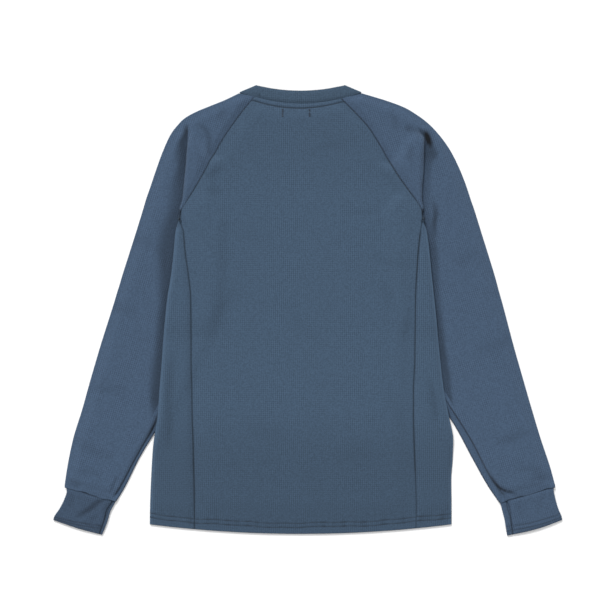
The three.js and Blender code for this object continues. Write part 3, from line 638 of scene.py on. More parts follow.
def on_columns(points, first, last):
    """1 on some columns of a grid and 0 on the others."""
    mask = np.zeros(points.shape[:2])
    mask[:, first:last] = 1.0
    return mask


def from_line(points, line):
    """How far points lie from a line of their own grid, seen from above."""
    return np.linalg.norm(points[..., :2] - line[..., :2], axis=-1)


def sleeve_parts(side):
    """A sleeve's grid, the layer that each point is on, and its distances from the edges."""
    s = SimpleNamespace(side=side)
    s.middle, s.normal, places, unfold_place = sleeve_grid(side)
    s.facing = np.clip(s.normal[..., 2], 0, 1)
    s.floor_top = on_columns(s.middle, LAYER - FLOOR_STEPS - 1, LAYER)
    s.cap_top = on_columns(s.middle, 0, CAP_END)
    s.back_layer = on_columns(s.middle, 0, LAYER + 1)
    s.pleat_top = on_columns(s.middle, 0, CAP_END + BEND_STEPS)
    s.pleat_top = np.maximum(s.pleat_top, (1 - s.back_layer) * s.facing)
    s.from_fold = from_line(s.middle, s.middle[:, FOLD_COLUMN:FOLD_COLUMN + 1])
    s.from_seam = from_line(s.middle, s.middle[:, :1])
    s.from_cuff = (places[-1] - places)[:, None]
    s.from_neck = places[:, None]
    s.covered = cover_distance(s.middle, side)
    s.valley, s.open_air = valley_at(s.middle, side)
    start, turn, flat = [RAGLAN_KNOTS[row] for row in (PLEAT_START, PLEAT_TURN, PLEAT_FLAT)]
    s.pleated = rise(s.from_neck - start + PLEAT_LEAD, turn - start)
    s.folded = rise(s.from_neck - start + PLEAT_LEAD, flat - start)
    s.unfolded = rise(s.from_neck - unfold_place, UNFOLD_LENGTH)
    s.on_floor = np.maximum(s.floor_top, s.unfolded * s.back_layer)
    edge_rows = np.array(EDGE_LINE[side], float)[::-1]
    s.edge = s.from_seam - np.interp(s.middle[..., 1], edge_rows[:, 0], edge_rows[:, 1])
    s.cap_creases = crease_height(s.middle, TOP_CREASES)
    s.creases = crease_height(s.middle, SLEEVE_CREASES)
    return s


print("a sleeve's back layer has", LAYER, "columns, and its cap", CAP_END)

# %% [markdown]
# Air lifts the middle of a layer and leaves its seams and folds down. Where the sleeve is pleated, the
# cap rises on its own, and the floor rises only beyond the valley. The seam lies in a groove.

# %% Air and creases of a sleeve
# the most that air lifts the top layer of each part
AIR = {"flat sleeve": 3.0, "pleated sleeve": 4.0, "cap": 2.4, "back": 3.2, "wrap": 2.6,
       "cuff": 1.8, "band": 0.9}
# how far from each edge of a part the air comes to its full height
REACH = {
    "flat sleeve": {"fold": 18.0, "cuff": 16.0, "neck": 20.0, "seam": 12.0},
    "pleated sleeve": {"fold": 20.0, "cuff": 16.0, "neck": 20.0, "seam": 12.0},
    "cap": {"seam": 12.0, "edge": 6.0},
    "back": {"side": 30.0, "hem": 44.0, "neck": 26.0},
    "wrap": {"seam": 9.0, "fold": 6.0, "hem": 30.0},
    "cuff": {"top": 8.0, "hem": 5.0, "seam": 7.0},
    "band": {"seam": 6.0, "free": 5.0},
}
# a crease presses the top layer down by no more than this, because of the layer under it
LOWEST = -0.15
SEAM_GROOVE, GROOVE_WIDTH = 0.6, 1.5
# the underarm seam's share of that groove, and the step beside it where the sleeve's edge lies flat
UNDERARM_GROOVE = 0.6
STRIP_WIDTH = 1.6


def air(part, most=None, **distances):
    """The air under a part, from the distances to its edges: none at an edge, the most far from all."""
    height = AIR[part] if most is None else np.minimum(AIR[part], most)
    for edge, distance in distances.items():
        height = height * rise(distance, REACH[part][edge])
    return height


def sleeve_lift(s):
    edges = {"fold": s.from_fold, "cuff": s.from_cuff, "neck": s.from_neck, "seam": s.from_seam}
    flat = air("flat sleeve", **edges) + s.cap_creases
    strip = s.unfolded * (1 - rise(s.edge + STRIP_WIDTH / 2, STRIP_WIDTH))
    floor = air("pleated sleeve", **edges) * s.open_air * (1 - strip)
    floor += s.creases * rise(s.from_fold, 8.0)
    cap = air("cap", seam=s.from_seam, edge=-s.covered) + s.cap_creases
    pleated = s.on_floor * floor + (1 - s.on_floor) * s.cap_top * cap
    lift = s.back_layer * (flat * (1 - s.folded) + pleated * s.folded)
    along = np.where(s.from_neck < ARMPIT, 1.0, UNDERARM_GROOVE)
    groove = SEAM_GROOVE * along * mark(s.from_seam, GROOVE_WIDTH) * s.cap_top
    return s.facing * (np.maximum(lift, LOWEST) - groove)


print("air lifts a sleeve by up to", AIR["pleated sleeve"], "mm")

# %% [markdown]
# Each mesh carries an attribute of painted shade, which says how dark its colour is painted at a point:
# 0 is open cloth, 1 is painted shade at the bottom of a seam, and less than 0 is a painted highlight on
# a fold. It paints in the shade that thick, soft layers throw into their own seams and pleats.

# %% Shade of a sleeve
# the width of a painted line of shade along a seam, the painted highlight along a fold, and the painted
# shade of a crease's trough
SHADE_LINE_WIDTH = 1.1
FOLD_LIGHT = 0.45
TROUGH_SHADE = 0.24
# a raglan seam's shade, and the underarm seam's share of it
RAGLAN_SHADE, UNDERARM_SHADE = 0.9, 0.85
# how much fainter the raglan seam's painted shade gets towards the armpit, and towards the neck on the
# left
RAGLAN_FAINT, NECK_FAINT = 0.45, 0.35
# the painted highlight along the pleat's edge fades out past here on the cap
CAP_LIGHT_END = RAGLAN_KNOTS[-3]


# The painted shade of a sleeve: its valley, pockets, crease troughs, underarm and raglan seams, and the
# hidden inside of its pleat, less a painted highlight along the pleat's edge.
def sleeve_shade(s):
    troughs = s.on_floor * s.creases * s.folded
    troughs += (s.cap_top + (1 - s.folded)) * s.cap_creases
    # a painted line of shade along the underarm seam, where the sleeve has unfolded
    underarm_seam_shade = EDGE_SHADE[s.side] * s.unfolded * s.on_floor
    underarm_seam_shade = underarm_seam_shade * rise(s.from_cuff - EDGE_END[s.side], 12.0)
    pockets = crease_height(s.middle, POCKETS) * s.pleated * s.on_floor
    pockets = np.maximum(pockets, underarm_seam_shade * mark(s.edge, SHADE_LINE_WIDTH))
    shade = np.maximum(s.floor_top * s.valley * s.pleated, pockets)
    shade = shade + np.clip(-troughs, 0.0, 1.6) * TROUGH_SHADE
    # a painted highlight along the pleat's edge
    light = s.cap_top * s.folded * rise(s.covered + 6.0, 5.0) * s.facing
    shade = shade - FOLD_LIGHT * (light * (1 - rise(s.from_neck - CAP_LIGHT_END, 8.0)))
    past_armpit = s.from_neck - ARMPIT
    faint = 1 - RAGLAN_FAINT * rise(past_armpit + 28.0, 12.0)
    if s.side == LEFT:
        faint = faint - NECK_FAINT * (1 - rise(s.from_neck, 40.0))
    along = np.where(past_armpit > 0, UNDERARM_SHADE, faint)
    shade = np.maximum(shade, RAGLAN_SHADE * mark(s.from_seam, SHADE_LINE_WIDTH) * along) * s.back_layer
    # painted shade over the inside of the pleat, which shows only at the armpit
    inside = s.pleat_top * rise(past_armpit + 3.0, 4.0) * rise(60.0 - past_armpit, 30.0)
    return np.maximum(shade, inside)


print("a raglan seam is", RAGLAN_SHADE, "painted_shade")

# %% [markdown]
# The sleeve is wider than its cuff and sags a little over it, with an uneven edge.

# %% Make both sleeves
# how far the sleeve and the cuff reach into each other, and how far the sleeve sags over and stands up
CUFF_OVERLAP = 1.5
SAG_OVER = 1.4
SAG_LIFT = 1.5


def hang_over_cuff(s):
    overlap = CUFF_OVERLAP * rise(8.0 - s.from_cuff, 8.0) * (1 + s.normal[..., 2]) / 2
    down_arm = unit(s.middle[-1] - s.middle[-6])
    s.middle += overlap[..., None] * down_arm[None]
    over = s.back_layer * s.facing * rise(10.0 - s.from_cuff, 7.0)
    x = s.middle[..., 0]
    ripple = 0.9 * np.sin(0.13 * x) + 0.4 * np.sin(0.31 * x + 1.0)
    s.middle += (over * (SAG_OVER + ripple))[..., None] * down_arm[None]
    s.middle[..., 2] += SAG_LIFT * over


def make_sleeve(side):
    s = sleeve_parts(side)
    s.middle[..., 2] += sleeve_lift(s)
    shade = sleeve_shade(s)
    hang_over_cuff(s)
    name = "sleeve_left_cloth" if side == LEFT else "sleeve_right_cloth"
    return sheet_mesh(name, s.middle, s.normal, shade=shade)


sleeve_left = make_sleeve(LEFT)
sleeve_right = make_sleeve(RIGHT)

# %% [markdown]
# ## Body
#
# The back panel ends at the raglan seams and at two side seams that show. The front panel is wider:
# it wraps round both side folds to those seams. Where a sleeve is folded under the body, both layers
# climb over it on a soft ramp.

# %% Rows of the body
def body_table():
    table = []
    for index in range(CAP_ROWS):
        row = []
        starts = {}
        for side in (LEFT, RIGHT):
            back, front = CAP[side][index][1:3]
            pick = max if side == LEFT else min
            inside = pick(back[0], front[0]) - side * RAGLAN_START
            starts[side] = CAP_START[side].get(index, inside)
            row += [*back, *front]
        lifts = [SECTIONS[side][index][4][-1, 1] for side in (LEFT, RIGHT)]
        table.append(row + [0.0, starts[LEFT], starts[RIGHT], *lifts, 0.0])
    for y, edge_l, seam_l, seam_r, edge_r, curl, start_l, start_r, stacks, sag in BODY:
        lift = stacks * STACK_PITCH
        row = [seam_l, y, edge_l, y, seam_r, y, edge_r, y]
        table.append(row + [curl, start_l, start_r, lift, lift, sag])
    return np.array(table, float)


BODY_TABLE = body_table()
body_steps = -np.diff(BODY_TABLE[CAP_ROWS - 1:, 1])
below_raglan = np.cumsum(np.maximum(body_steps, 1.0))
BODY_KNOTS = np.concatenate([RAGLAN_KNOTS, ARMPIT + below_raglan])
BODY_PLACES = finer(BODY_KNOTS, head=18.0, tail=26.0)
BODY_ROWS = smooth_rows(BODY_KNOTS, BODY_TABLE, BODY_PLACES)
print(len(BODY_ROWS), "fine body rows")


# %% Height and level of the body
def ramp(distance):
    return 1 - rise(distance, RAMP)


def body_height(row, x):
    start_left, start_right, lift_left, lift_right = row[9:13]
    return STACK_HALF + lift_left * ramp(x - start_left) + lift_right * ramp(start_right - x)


def row_level(row, x, ends, neck, top, bottom):
    (left_x, left_y), (right_x, right_y) = ends
    share = (x - left_x) / (right_x - left_x)
    level = left_y + (right_y - left_y) * share
    middle, half, dip = neck
    fade = np.clip((level - bottom) / (top - bottom), 0.0, 1.0)
    dip = dip * np.maximum(0, 1 - ((x - middle) / half) ** 2) * fade
    across_hem = (x - row[2]) / (row[6] - row[2])
    return level - dip - row[13] * 4 * across_hem * (1 - across_hem)


BACK_TOP, BACK_BOTTOM = BODY_TABLE[0, 1], BODY_TABLE[CAP_ROWS - 1, 1]
FRONT_TOP, FRONT_BOTTOM = BODY_TABLE[0, 3], BODY_TABLE[CAP_ROWS - 1, 3]
print("the raglan seams end at y", BACK_BOTTOM, "mm")

# %% Grid of the back panel
BACK_COLUMNS = 112


def back_grid():
    middle = []
    for row in BODY_ROWS:
        left = row[0] + SEAM_GAP / 2
        right = row[4] - SEAM_GAP / 2
        x = left + across(right - left, BACK_COLUMNS)
        ends = ((row[0], row[1]), (row[4], row[5]))
        y = row_level(row, x, ends, NECK["back"], BACK_TOP, BACK_BOTTOM)
        middle.append(np.stack([x, y, body_height(row, x) + LAYER_OFFSET], -1))
    middle = np.array(middle)
    normal = np.zeros_like(middle)
    normal[..., 2] = 1
    return middle, normal


back_points, back_normals = back_grid()
print("the back's grid is", back_points.shape[:2])

# %% [markdown]
# The hem is turned up and held by two rows of cover stitch, which press the cloth down and pucker it
# between them. No row is quite straight, so each one wanders a little.

# %% Hem
# distances of the rows of stitches from the neck seam and from the hem
NECK_LINE = 7.5
HEM_LINES = (17.0, 10.5)
# no air gets under the outermost part of the turned hem
HEM_FLAT = 8.0
PUCKER_LINE, PUCKER_WIDTH, PUCKER_HEIGHT = 14.0, 6.5, 0.26
PUCKER_SHADE = 0.42
# upper row, lower row, width: as dips in the cloth, and as shade
HEM_DIPS = (0.45, 0.45, 0.9)
HEM_SHADES = (0.68, 0.84, 0.85)


def hem_lines(x):
    """How far the two rows of hem stitches lie from the hem, which is never quite the same."""
    wander = 0.8 * np.sin(x * 0.043 + 0.5) + 0.5 * np.sin(x * 0.117)
    return [line + wander for line in HEM_LINES]


def hem_marks(x, hem, upper_mark, lower_mark, width):
    """The two rows as marks of uneven strength."""
    upper, lower = hem_lines(x)
    strength = 0.85 + 0.45 * np.sin(x * 0.29 + 0.7) * np.sin(x * 0.083)
    return strength * (upper_mark * mark(hem - upper, width) + lower_mark * mark(hem - lower, width))


def pucker(x, hem):
    """Small uneven ripples between the two rows of hem stitches."""
    wave = np.sin(x * 0.41) + 0.7 * np.sin(x * 0.187 + 1.3) + 0.5 * np.sin(x * 0.73 + 0.4)
    return PUCKER_HEIGHT * wave * mark(hem - PUCKER_LINE, PUCKER_WIDTH)


def with_hem(shade, x, hem):
    """A panel's shade with its two rows of stitches and the pucker between them."""
    shade = np.maximum(shade, hem_marks(x, hem, *HEM_SHADES))
    return shade + PUCKER_SHADE * np.clip(-pucker(x, hem), -0.2, 0.4)


print("the hem is held at", HEM_LINES, "mm")

# %% [markdown]
# A seam's painted shade is darkest where its two sides stand apart, and almost goes where they lie flat.
# The lower part of the body lies flatter than the rest and takes less light, and so does the top;
# painted shade darkens both.

# %% Shade of the body's seams
SEAM_SHADE = 0.95
LOW_SHADE, HIGH_SHADE = 0.24, 0.08
# y, how strongly the side seam shows there, in the depth of its groove and in its painted shade
SEAM_TONE = {
    LEFT: [(150, 0.75), (130, 0.7), (110, 1.0), (60, 0.9), (0, 0.95), (-100, 0.85), (-240, 1.0),
           (-340, 0.8)],
    RIGHT: [(150, 0.45), (128, 0.45), (118, 1.15), (60, 1.1), (0, 0.85), (-120, 0.8), (-248, 1.0),
            (-262, 0.4), (-340, 0.4)],
}


def seam_tone(points):
    left, right = [np.array(SEAM_TONE[side], float)[::-1] for side in (LEFT, RIGHT)]
    y = points[..., 1]
    return np.where(points[..., 0] < 0, np.interp(y, *left.T), np.interp(y, *right.T))


# painted shade that darkens the body towards the hem and towards the top
def flat_shade(points):
    low, high = -140.0 - points[..., 1], points[..., 1] - 170.0
    return LOW_SHADE * rise(low, 110.0) + HIGH_SHADE * rise(high, 90.0)


print("the side seams' tones have", len(SEAM_TONE[LEFT]), "and", len(SEAM_TONE[RIGHT]), "rows")

# %% Make the back
BODY_GROOVE = 0.65
# the roll beside the neck seam, the dip of the row of stitches below it, and that row's shade
NECK_ROLL, NECK_DIP, NECK_SHADE = 0.5, 0.5, 1.15
BACK_CREASE_SHADE = 0.16
# the strength of the left raglan seam's painted shade, and what it loses towards the neck
RAGLAN_LEFT, RAGLAN_LEFT_NECK = 0.75, 0.3


def raglan_tone(middle, below):
    """How strongly the raglan seams' painted shade shows on the back: less on the left, and less at both
    ends.
    """
    calm = np.where(below < 4.0, 1 - RAGLAN_FAINT * rise(below + 28.0, 12.0), 1.0)
    near_neck = 1 - rise(BODY_PLACES, 40.0)[:, None]
    raglan = np.where(middle[..., 0] < 0, RAGLAN_LEFT - RAGLAN_LEFT_NECK * near_neck, 1.0)
    return calm, raglan + (1 - raglan) * rise(below, 1.0)


def make_back(middle, normal):
    """Moves the grid in place, because the stitches and the neckband follow it later."""
    x = middle[..., 0]
    side = np.minimum(x - x[:, :1], x[:, -1:] - x)
    hem, neck = from_line(middle, middle[-1:]), from_line(middle, middle[:1])
    lift = air("back", side=side, hem=hem - HEM_FLAT, neck=neck)
    lift += NECK_ROLL * rise(neck - 0.5, 3.0) * (1 - rise(neck - 4.0, 4.0))
    creases = crease_height(middle, TOP_CREASES) + pucker(x, hem)
    lines = hem_marks(x, hem, *HEM_DIPS) + NECK_DIP * mark(neck - NECK_LINE, 1.3)
    below = (BODY_PLACES - BODY_KNOTS[CAP_ROWS - 1])[:, None]
    tone = 1 + (seam_tone(middle) - 1) * rise(below, 6.0)
    groove = BODY_GROOVE * tone * mark(side, GROOVE_WIDTH)
    middle[..., 2] += np.maximum(lift + creases, LOWEST) - groove - lines
    # painted shade along the seams, the row of stitches below the neck, the hem and the creases, and
    # painted shade that darkens the bottom and the top
    calm, raglan = raglan_tone(middle, below)
    shade = SEAM_SHADE * calm * raglan * tone * mark(side, SHADE_LINE_WIDTH)
    shade = np.maximum(shade, NECK_SHADE * mark(neck - NECK_LINE, 0.95))
    shade = with_hem(shade, x, hem)
    shade = np.maximum(shade, np.clip(-creases, 0.0, 1.2) * BACK_CREASE_SHADE)
    return sheet_mesh("back_cloth", middle, normal, shade=shade + flat_shade(middle))


back_cloth = make_back(back_points, back_normals)

# %% [markdown]
# The front starts at the side seam on the back, runs out to the side fold, turns under and crosses
# to the other side. At the armpit the wrap unrolls until the front is flat.

# %% Grid of the front panel
WRAP_TOP = 16
WRAP_BEND = 7
FRONT_UNDER = 96


def front_side(row, side):
    """One side of the front: offsets from the middle of the fold, from under to the seam on the back."""
    edge = row[2] if side == LEFT else row[6]
    seam = (row[0] if side == LEFT else row[4]) + side * SEAM_GAP / 2
    curl = row[8]
    chord = 2 * LAYER_OFFSET * math.sin(math.radians(90 / WRAP_BEND))
    gap = -side * SEAM_GAP / 2 * (1 - min(1.0, curl / 60))
    bend = fold_path([(chord, curl / WRAP_BEND)] * WRAP_BEND)
    reach = (bend[:, 0] + np.sin(bend[:, 2]) * CLOTH / 2).max()
    if curl < 90:
        tail_reach = bend[-1, 0] + CURL_TAIL * math.cos(bend[-1, 2])
        reach = max(reach, tail_reach)
    centre = edge + gap - side * reach
    tail = CURL_TAIL
    if curl > 179.9:
        tail = abs(centre - seam)
    steps = [(chord, curl / WRAP_BEND)] * WRAP_BEND
    steps += [(step, 0) for step in np.diff(across(tail, WRAP_TOP + 1))]
    return centre, fold_path(steps)


def front_grid():
    middle, normal = [], []
    for row in BODY_ROWS:
        ends = ((row[2], row[3]), (row[6], row[7]))
        parts = {}
        for side in (LEFT, RIGHT):
            centre, path = front_side(row, side)
            x = centre + side * path[:, 0]
            height = np.where(row[8] > 179.9, body_height(row, x), body_height(row, centre))
            y = row_level(row, x, ends, NECK["front"], FRONT_TOP, FRONT_BOTTOM)
            points = np.stack([x, y, height + path[:, 1] - LAYER_OFFSET], -1)
            facing = np.stack([side * np.sin(path[:, 2]), 0 * x, -np.cos(path[:, 2])], -1)
            parts[side] = (centre, points, facing)
        low, high = parts[LEFT][0], parts[RIGHT][0]
        x = (low + across(high - low, FRONT_UNDER))[1:-1]
        y = row_level(row, x, ends, NECK["front"], FRONT_TOP, FRONT_BOTTOM)
        under = np.stack([x, y, body_height(row, x) - LAYER_OFFSET], -1)
        down = np.tile((0.0, 0.0, -1.0), (len(x), 1))
        middle.append(np.concatenate([parts[LEFT][1][::-1], under, parts[RIGHT][1]]))
        normal.append(np.concatenate([parts[LEFT][2][::-1], down, parts[RIGHT][2]]))
    return np.array(middle), unit(np.array(normal))


front_points, front_normals = front_grid()
print("the front's grid is", front_points.shape[:2])

# %% Make the front
WRAP_WIDTH = WRAP_TOP + 1
# how much of the wrap's width the air lifts it by
WRAP_AIR = 0.12
# the hollow under each armpit, and the seam's share of its shade where the wrap still turns
ARMPIT_SHADE = 1.1
TURNING_SHADE = 0.4
FRONT_CREASE_SHADE = 0.36


def make_front(middle, normal):
    """Moves the grid in place, as the back's is."""
    x = middle[..., 0]
    facing = np.clip(normal[..., 2], 0, 1)
    seam = np.minimum(from_line(middle, middle[:, :1]), from_line(middle, middle[:, -1:]))
    fold_left = np.abs(x - x[:, WRAP_WIDTH:WRAP_WIDTH + 1])
    fold_right = np.abs(x - x[:, -WRAP_WIDTH - 1:-WRAP_WIDTH])
    fold = np.minimum(fold_left, fold_right)
    hem = from_line(middle, middle[-1:])
    most = np.maximum(seam + fold, 1.0) * WRAP_AIR
    lift = air("wrap", most, seam=seam, fold=fold, hem=hem - HEM_FLAT)
    creases = crease_height(middle, TOP_CREASES) + pucker(x, hem)
    groove = BODY_GROOVE * seam_tone(middle) * mark(seam, GROOVE_WIDTH)
    groove = groove + hem_marks(x, hem, *HEM_DIPS)
    middle[..., 2] += facing * (np.maximum(lift + creases, LOWEST) - groove)
    turning = np.clip(BODY_ROWS[:, 8] / 180, 0.0, 1.0)[:, None]
    armpit = rise(BODY_PLACES - BODY_KNOTS[CAP_ROWS - 1], 4.0)
    armpit = (armpit * (1 - rise(BODY_PLACES - BODY_KNOTS[CAP_ROWS + 2], 6.0)))[:, None]
    wrapped = np.zeros(middle.shape[:2])
    wrapped[:, :WRAP_WIDTH + WRAP_BEND] = wrapped[:, -WRAP_WIDTH - WRAP_BEND:] = 1.0
    # painted shade along the seams, in each armpit's hollow, in the creases and along the hem
    shade = facing * SEAM_SHADE * seam_tone(middle) * mark(seam, SHADE_LINE_WIDTH)
    shade = shade * np.where(turning > 0.99, 1.0, TURNING_SHADE)
    shade = np.maximum(shade, ARMPIT_SHADE * armpit * wrapped)
    shade = np.maximum(shade, np.clip(-creases, 0.0, 1.2) * FRONT_CREASE_SHADE * facing)
    shade = with_hem(shade, x, hem)
    # a painted highlight along each side fold
    shade = shade - FOLD_LIGHT * turning * facing * rise(5.5 - fold, 5.0) * rise(seam - 4.0, 6.0)
    return sheet_mesh("front_cloth", middle, normal, shade=shade + flat_shade(middle) * facing)


front_cloth = make_front(front_points, front_normals)

# %% [markdown]
# ## Neckband
#
# The band is a doubled strip sewn to a ring. It lies flat in two layers with a fold at each side.

# %% Neckband rows
def band_sides(side, angles):
    seam, free = BAND_SIDE[side]
    way, _ = plan(seam, free)
    out = np.array((-way[1], way[0])) if seam[0] < 0 else np.array((way[1], -way[0]))
    sign = -1 if out[1] < 0 else 1
    rows = []
    for degrees in angles:
        angle = math.radians(degrees)
        facing = (*(sign * out * math.sin(angle)), math.cos(angle))
        rows.append((seam, free, facing))
    return rows


def back_free(x):
    left, right = BAND_SIDE[LEFT], BAND_SIDE[RIGHT]
    share = (x - left[0][0]) / (right[0][0] - left[0][0])
    place = left[1][0] + (right[1][0] - left[1][0]) * share
    return place, BAND_TOP[0] + BAND_TOP[2] * (place - BAND_TOP[1]) ** 2


def band_ring():
    """Each row's seam point, free point and facing: the left fold, back, right fold and front."""
    wrap = WRAP_TOP + WRAP_BEND
    back_seam, front_seam = back_points[0, ::2, :2], front_points[0, wrap:-wrap:2, :2]
    back = [(tuple(seam), back_free(seam[0]), (0.0, 0.0, 1.0)) for seam in back_seam]
    ends = np.array([BAND_SIDE[LEFT][0], *front_seam, BAND_SIDE[RIGHT][0]])
    front = []
    for index, seam in enumerate(front_seam):
        way, _ = plan(ends[index], ends[index + 2])
        free = (seam[0] - way[1] * BAND_WIDTH, seam[1] + way[0] * BAND_WIDTH)
        front.append((tuple(seam), free, (0.0, 0.0, -1.0)))
    ring = band_sides(LEFT, range(160, -1, -20)) + back + band_sides(RIGHT, range(0, 181, 20))
    return ring + front[::-1] + band_sides(LEFT, (180,))


BAND_RING = band_ring()
print("the neckband has", len(BAND_RING), "rows")

# %% [markdown]
# Between the shoulders the body's back rolls a little over the band's seam, so the band is tucked
# under it there. The strip's own join crosses the band near its left end.

# %% Make the neckband
TUCK = 1.1
TUCK_FROM, TUCK_TO, TUCK_FADE = -96.0, 74.0, 24.0
BAND_EDGE_SHADE = 0.15
JOIN_X, JOIN_WIDTH, JOIN_DIP, JOIN_SHADE = -76.5, 0.9, 0.4, 0.7


def make_band():
    middle, normal = [], []
    for seam, free, facing in BAND_RING:
        way, length = plan(seam, free)
        steps = across(length - SEAM_GAP, 16) + SEAM_GAP
        base = np.array((*seam, STACK_HALF)) + np.array(facing) * LAYER_OFFSET
        middle.append([base + np.array((*(way * step), 0.0)) for step in steps])
        normal.append([facing] * len(steps))
    middle, normal = np.array(middle), np.array(normal)
    facing = np.clip(normal[..., 2], 0, 1)
    seam = np.linalg.norm(middle - middle[:, :1], axis=-1)
    free = np.linalg.norm(middle - middle[:, -1:], axis=-1)
    seam_x = middle[:, :1, 0]
    inside = rise(np.minimum(seam_x - TUCK_FROM, TUCK_TO - seam_x), TUCK_FADE)
    tuck = facing * inside * (1 - rise(seam, 3.5))
    middle[..., 1] -= TUCK * tuck
    middle[..., 2] += facing * air("band", seam=seam, free=free) - TUCK * tuck
    crossing = facing * rise(seam, 2.0) * mark(np.abs(middle[..., 0] - JOIN_X), JOIN_WIDTH)
    middle[..., 2] -= JOIN_DIP * crossing
    # painted shade along the free edge and across the join
    shade = BAND_EDGE_SHADE * facing * (1 - rise(free, 1.5))
    shade = np.maximum(shade, JOIN_SHADE * crossing)
    return sheet_mesh("neckband_cloth", middle, normal, ring=True, shade=shade)


neckband_cloth = make_band()

# %% [markdown]
# ## Cuffs
#
# Each cuff is a flat tube. Its own seam stands open for a short way, as a hole for the thumb.

# %% One row of a cuff
def cuff_row(outer, inner, seam, slit):
    way, length = plan(outer, inner)
    start, end = STACK_HALF, length - STACK_HALF
    seam_place = length - seam
    points, facing = [], []

    def put(along, degrees):
        angle = math.radians(degrees)
        face = (-math.sin(angle), math.cos(angle))
        reach = along + face[0] * LAYER_OFFSET
        points.append((*(np.array(outer) + way * reach), STACK_HALF + face[1] * LAYER_OFFSET))
        facing.append((way[0] * face[0], way[1] * face[0], face[1]))

    top = seam_place - slit / 2 - start
    for step in across(top, 34)[::-1]:
        put(start + step, 0)
    for degrees in range(20, 180, 20):
        put(start, degrees)
    for step in across(end - start, 30):
        put(start + step, 180)
    for degrees in range(200, 361, 20):
        put(end, degrees)
    for step in np.linspace(0, end - seam_place - slit / 2, 6)[1:]:
        put(end - step, 360)
    return points, facing


print("a cuff's row has", len(cuff_row((0.0, 0.0), (80.0, 0.0), 5.0, SEAM_GAP)[0]), "points")

# %% [markdown]
# A cuff's hem bows a little outwards. On the left cuff the two rows of stitches come closer to the hem
# towards the outer fold. The cuffs, the left one above all, get less light than the sleeves, so painted
# shade darkens their whole colour, with more painted shade under the sleeve's edge, along the seam, rows
# and creases.

# %% Creases, hem and shade of the cuffs
# line, width, height: on the cuffs
CUFF_CREASES = [
    (((-312.0, -296.0), (-330.0, -303.5), (-343.0, -314.5), (-366.0, -327.5)), 4.0, -2.6),
    (((-372.0, -290.0), (-376.0, -304.0), (-384.0, -318.0)), 5.0, -0.7),
    (((-330.0, -322.0), (-340.0, -332.0), (-352.0, -338.0)), 5.0, -0.6),
    (((330.0, -300.0), (336.0, -318.0), (334.0, -334.0)), 6.0, -0.6),
    (((376.0, -286.0), (366.0, -304.0), (368.0, -320.0)), 6.0, -0.6),
    (((313.0, -299.0), (318.0, -310.0), (319.0, -322.0)), 1.8, -1.6),
]
# how far the middle of the hem bows out, and how much painted shade darkens the whole cuff
CUFF_BOW = {LEFT: 1.8, RIGHT: 2.8}
CUFF_SHADE = {LEFT: 0.36, RIGHT: 0.12}
# distances of the two rows from the hem, each at the outer and at the inner fold
CUFF_LINES = {LEFT: ((7.0, 13.0), (3.4, 8.8)), RIGHT: ((12.0, 12.0), (6.2, 6.2))}
CUFF_EDGE, CUFF_WIDTH = 402.0, 80.0
CUFF_DIPS, CUFF_ROW_SHADES = (0.35, 0.3), (0.62, 0.52)
CUFF_SEAM_SHADE, CUFF_CREASE_SHADE = 0.8, 0.2
CUFF_TOP_GROOVE = 0.35
# a step taken by both folds' points together measures this many times one fold's step
TWO_FOLDS = 1.4


def cuff_lines(points, side):
    """How far the two rows of stitches lie from the cuff's hem, from the outer to the inner fold."""
    across_cuff = np.clip((CUFF_EDGE - np.abs(points[..., 0])) / CUFF_WIDTH, 0.0, 1.0)
    return [outer + (inner - outer) * across_cuff for outer, inner in CUFF_LINES[side]]


def row_marks(hem, lines, strengths, width):
    return sum(strength * mark(hem - line, width) for line, strength in zip(lines, strengths))


def cuff_grid(side):
    table = np.array([[*outer, *inner, seam, slit] for outer, inner, seam, slit in CUFF[side]])
    steps = np.linalg.norm(np.diff(table[:, :4], axis=0), axis=1) / TWO_FOLDS
    knots = np.concatenate([[0], np.cumsum(steps)])
    places = finer(knots, 1.6)
    table = smooth_rows(knots, table, places)
    rows = [cuff_row(row[:2], row[2:4], row[4], row[5]) for row in table]
    return np.array([row[0] for row in rows]), np.array([row[1] for row in rows]), places


print("the left cuff's grid is", cuff_grid(LEFT)[0].shape[:2])

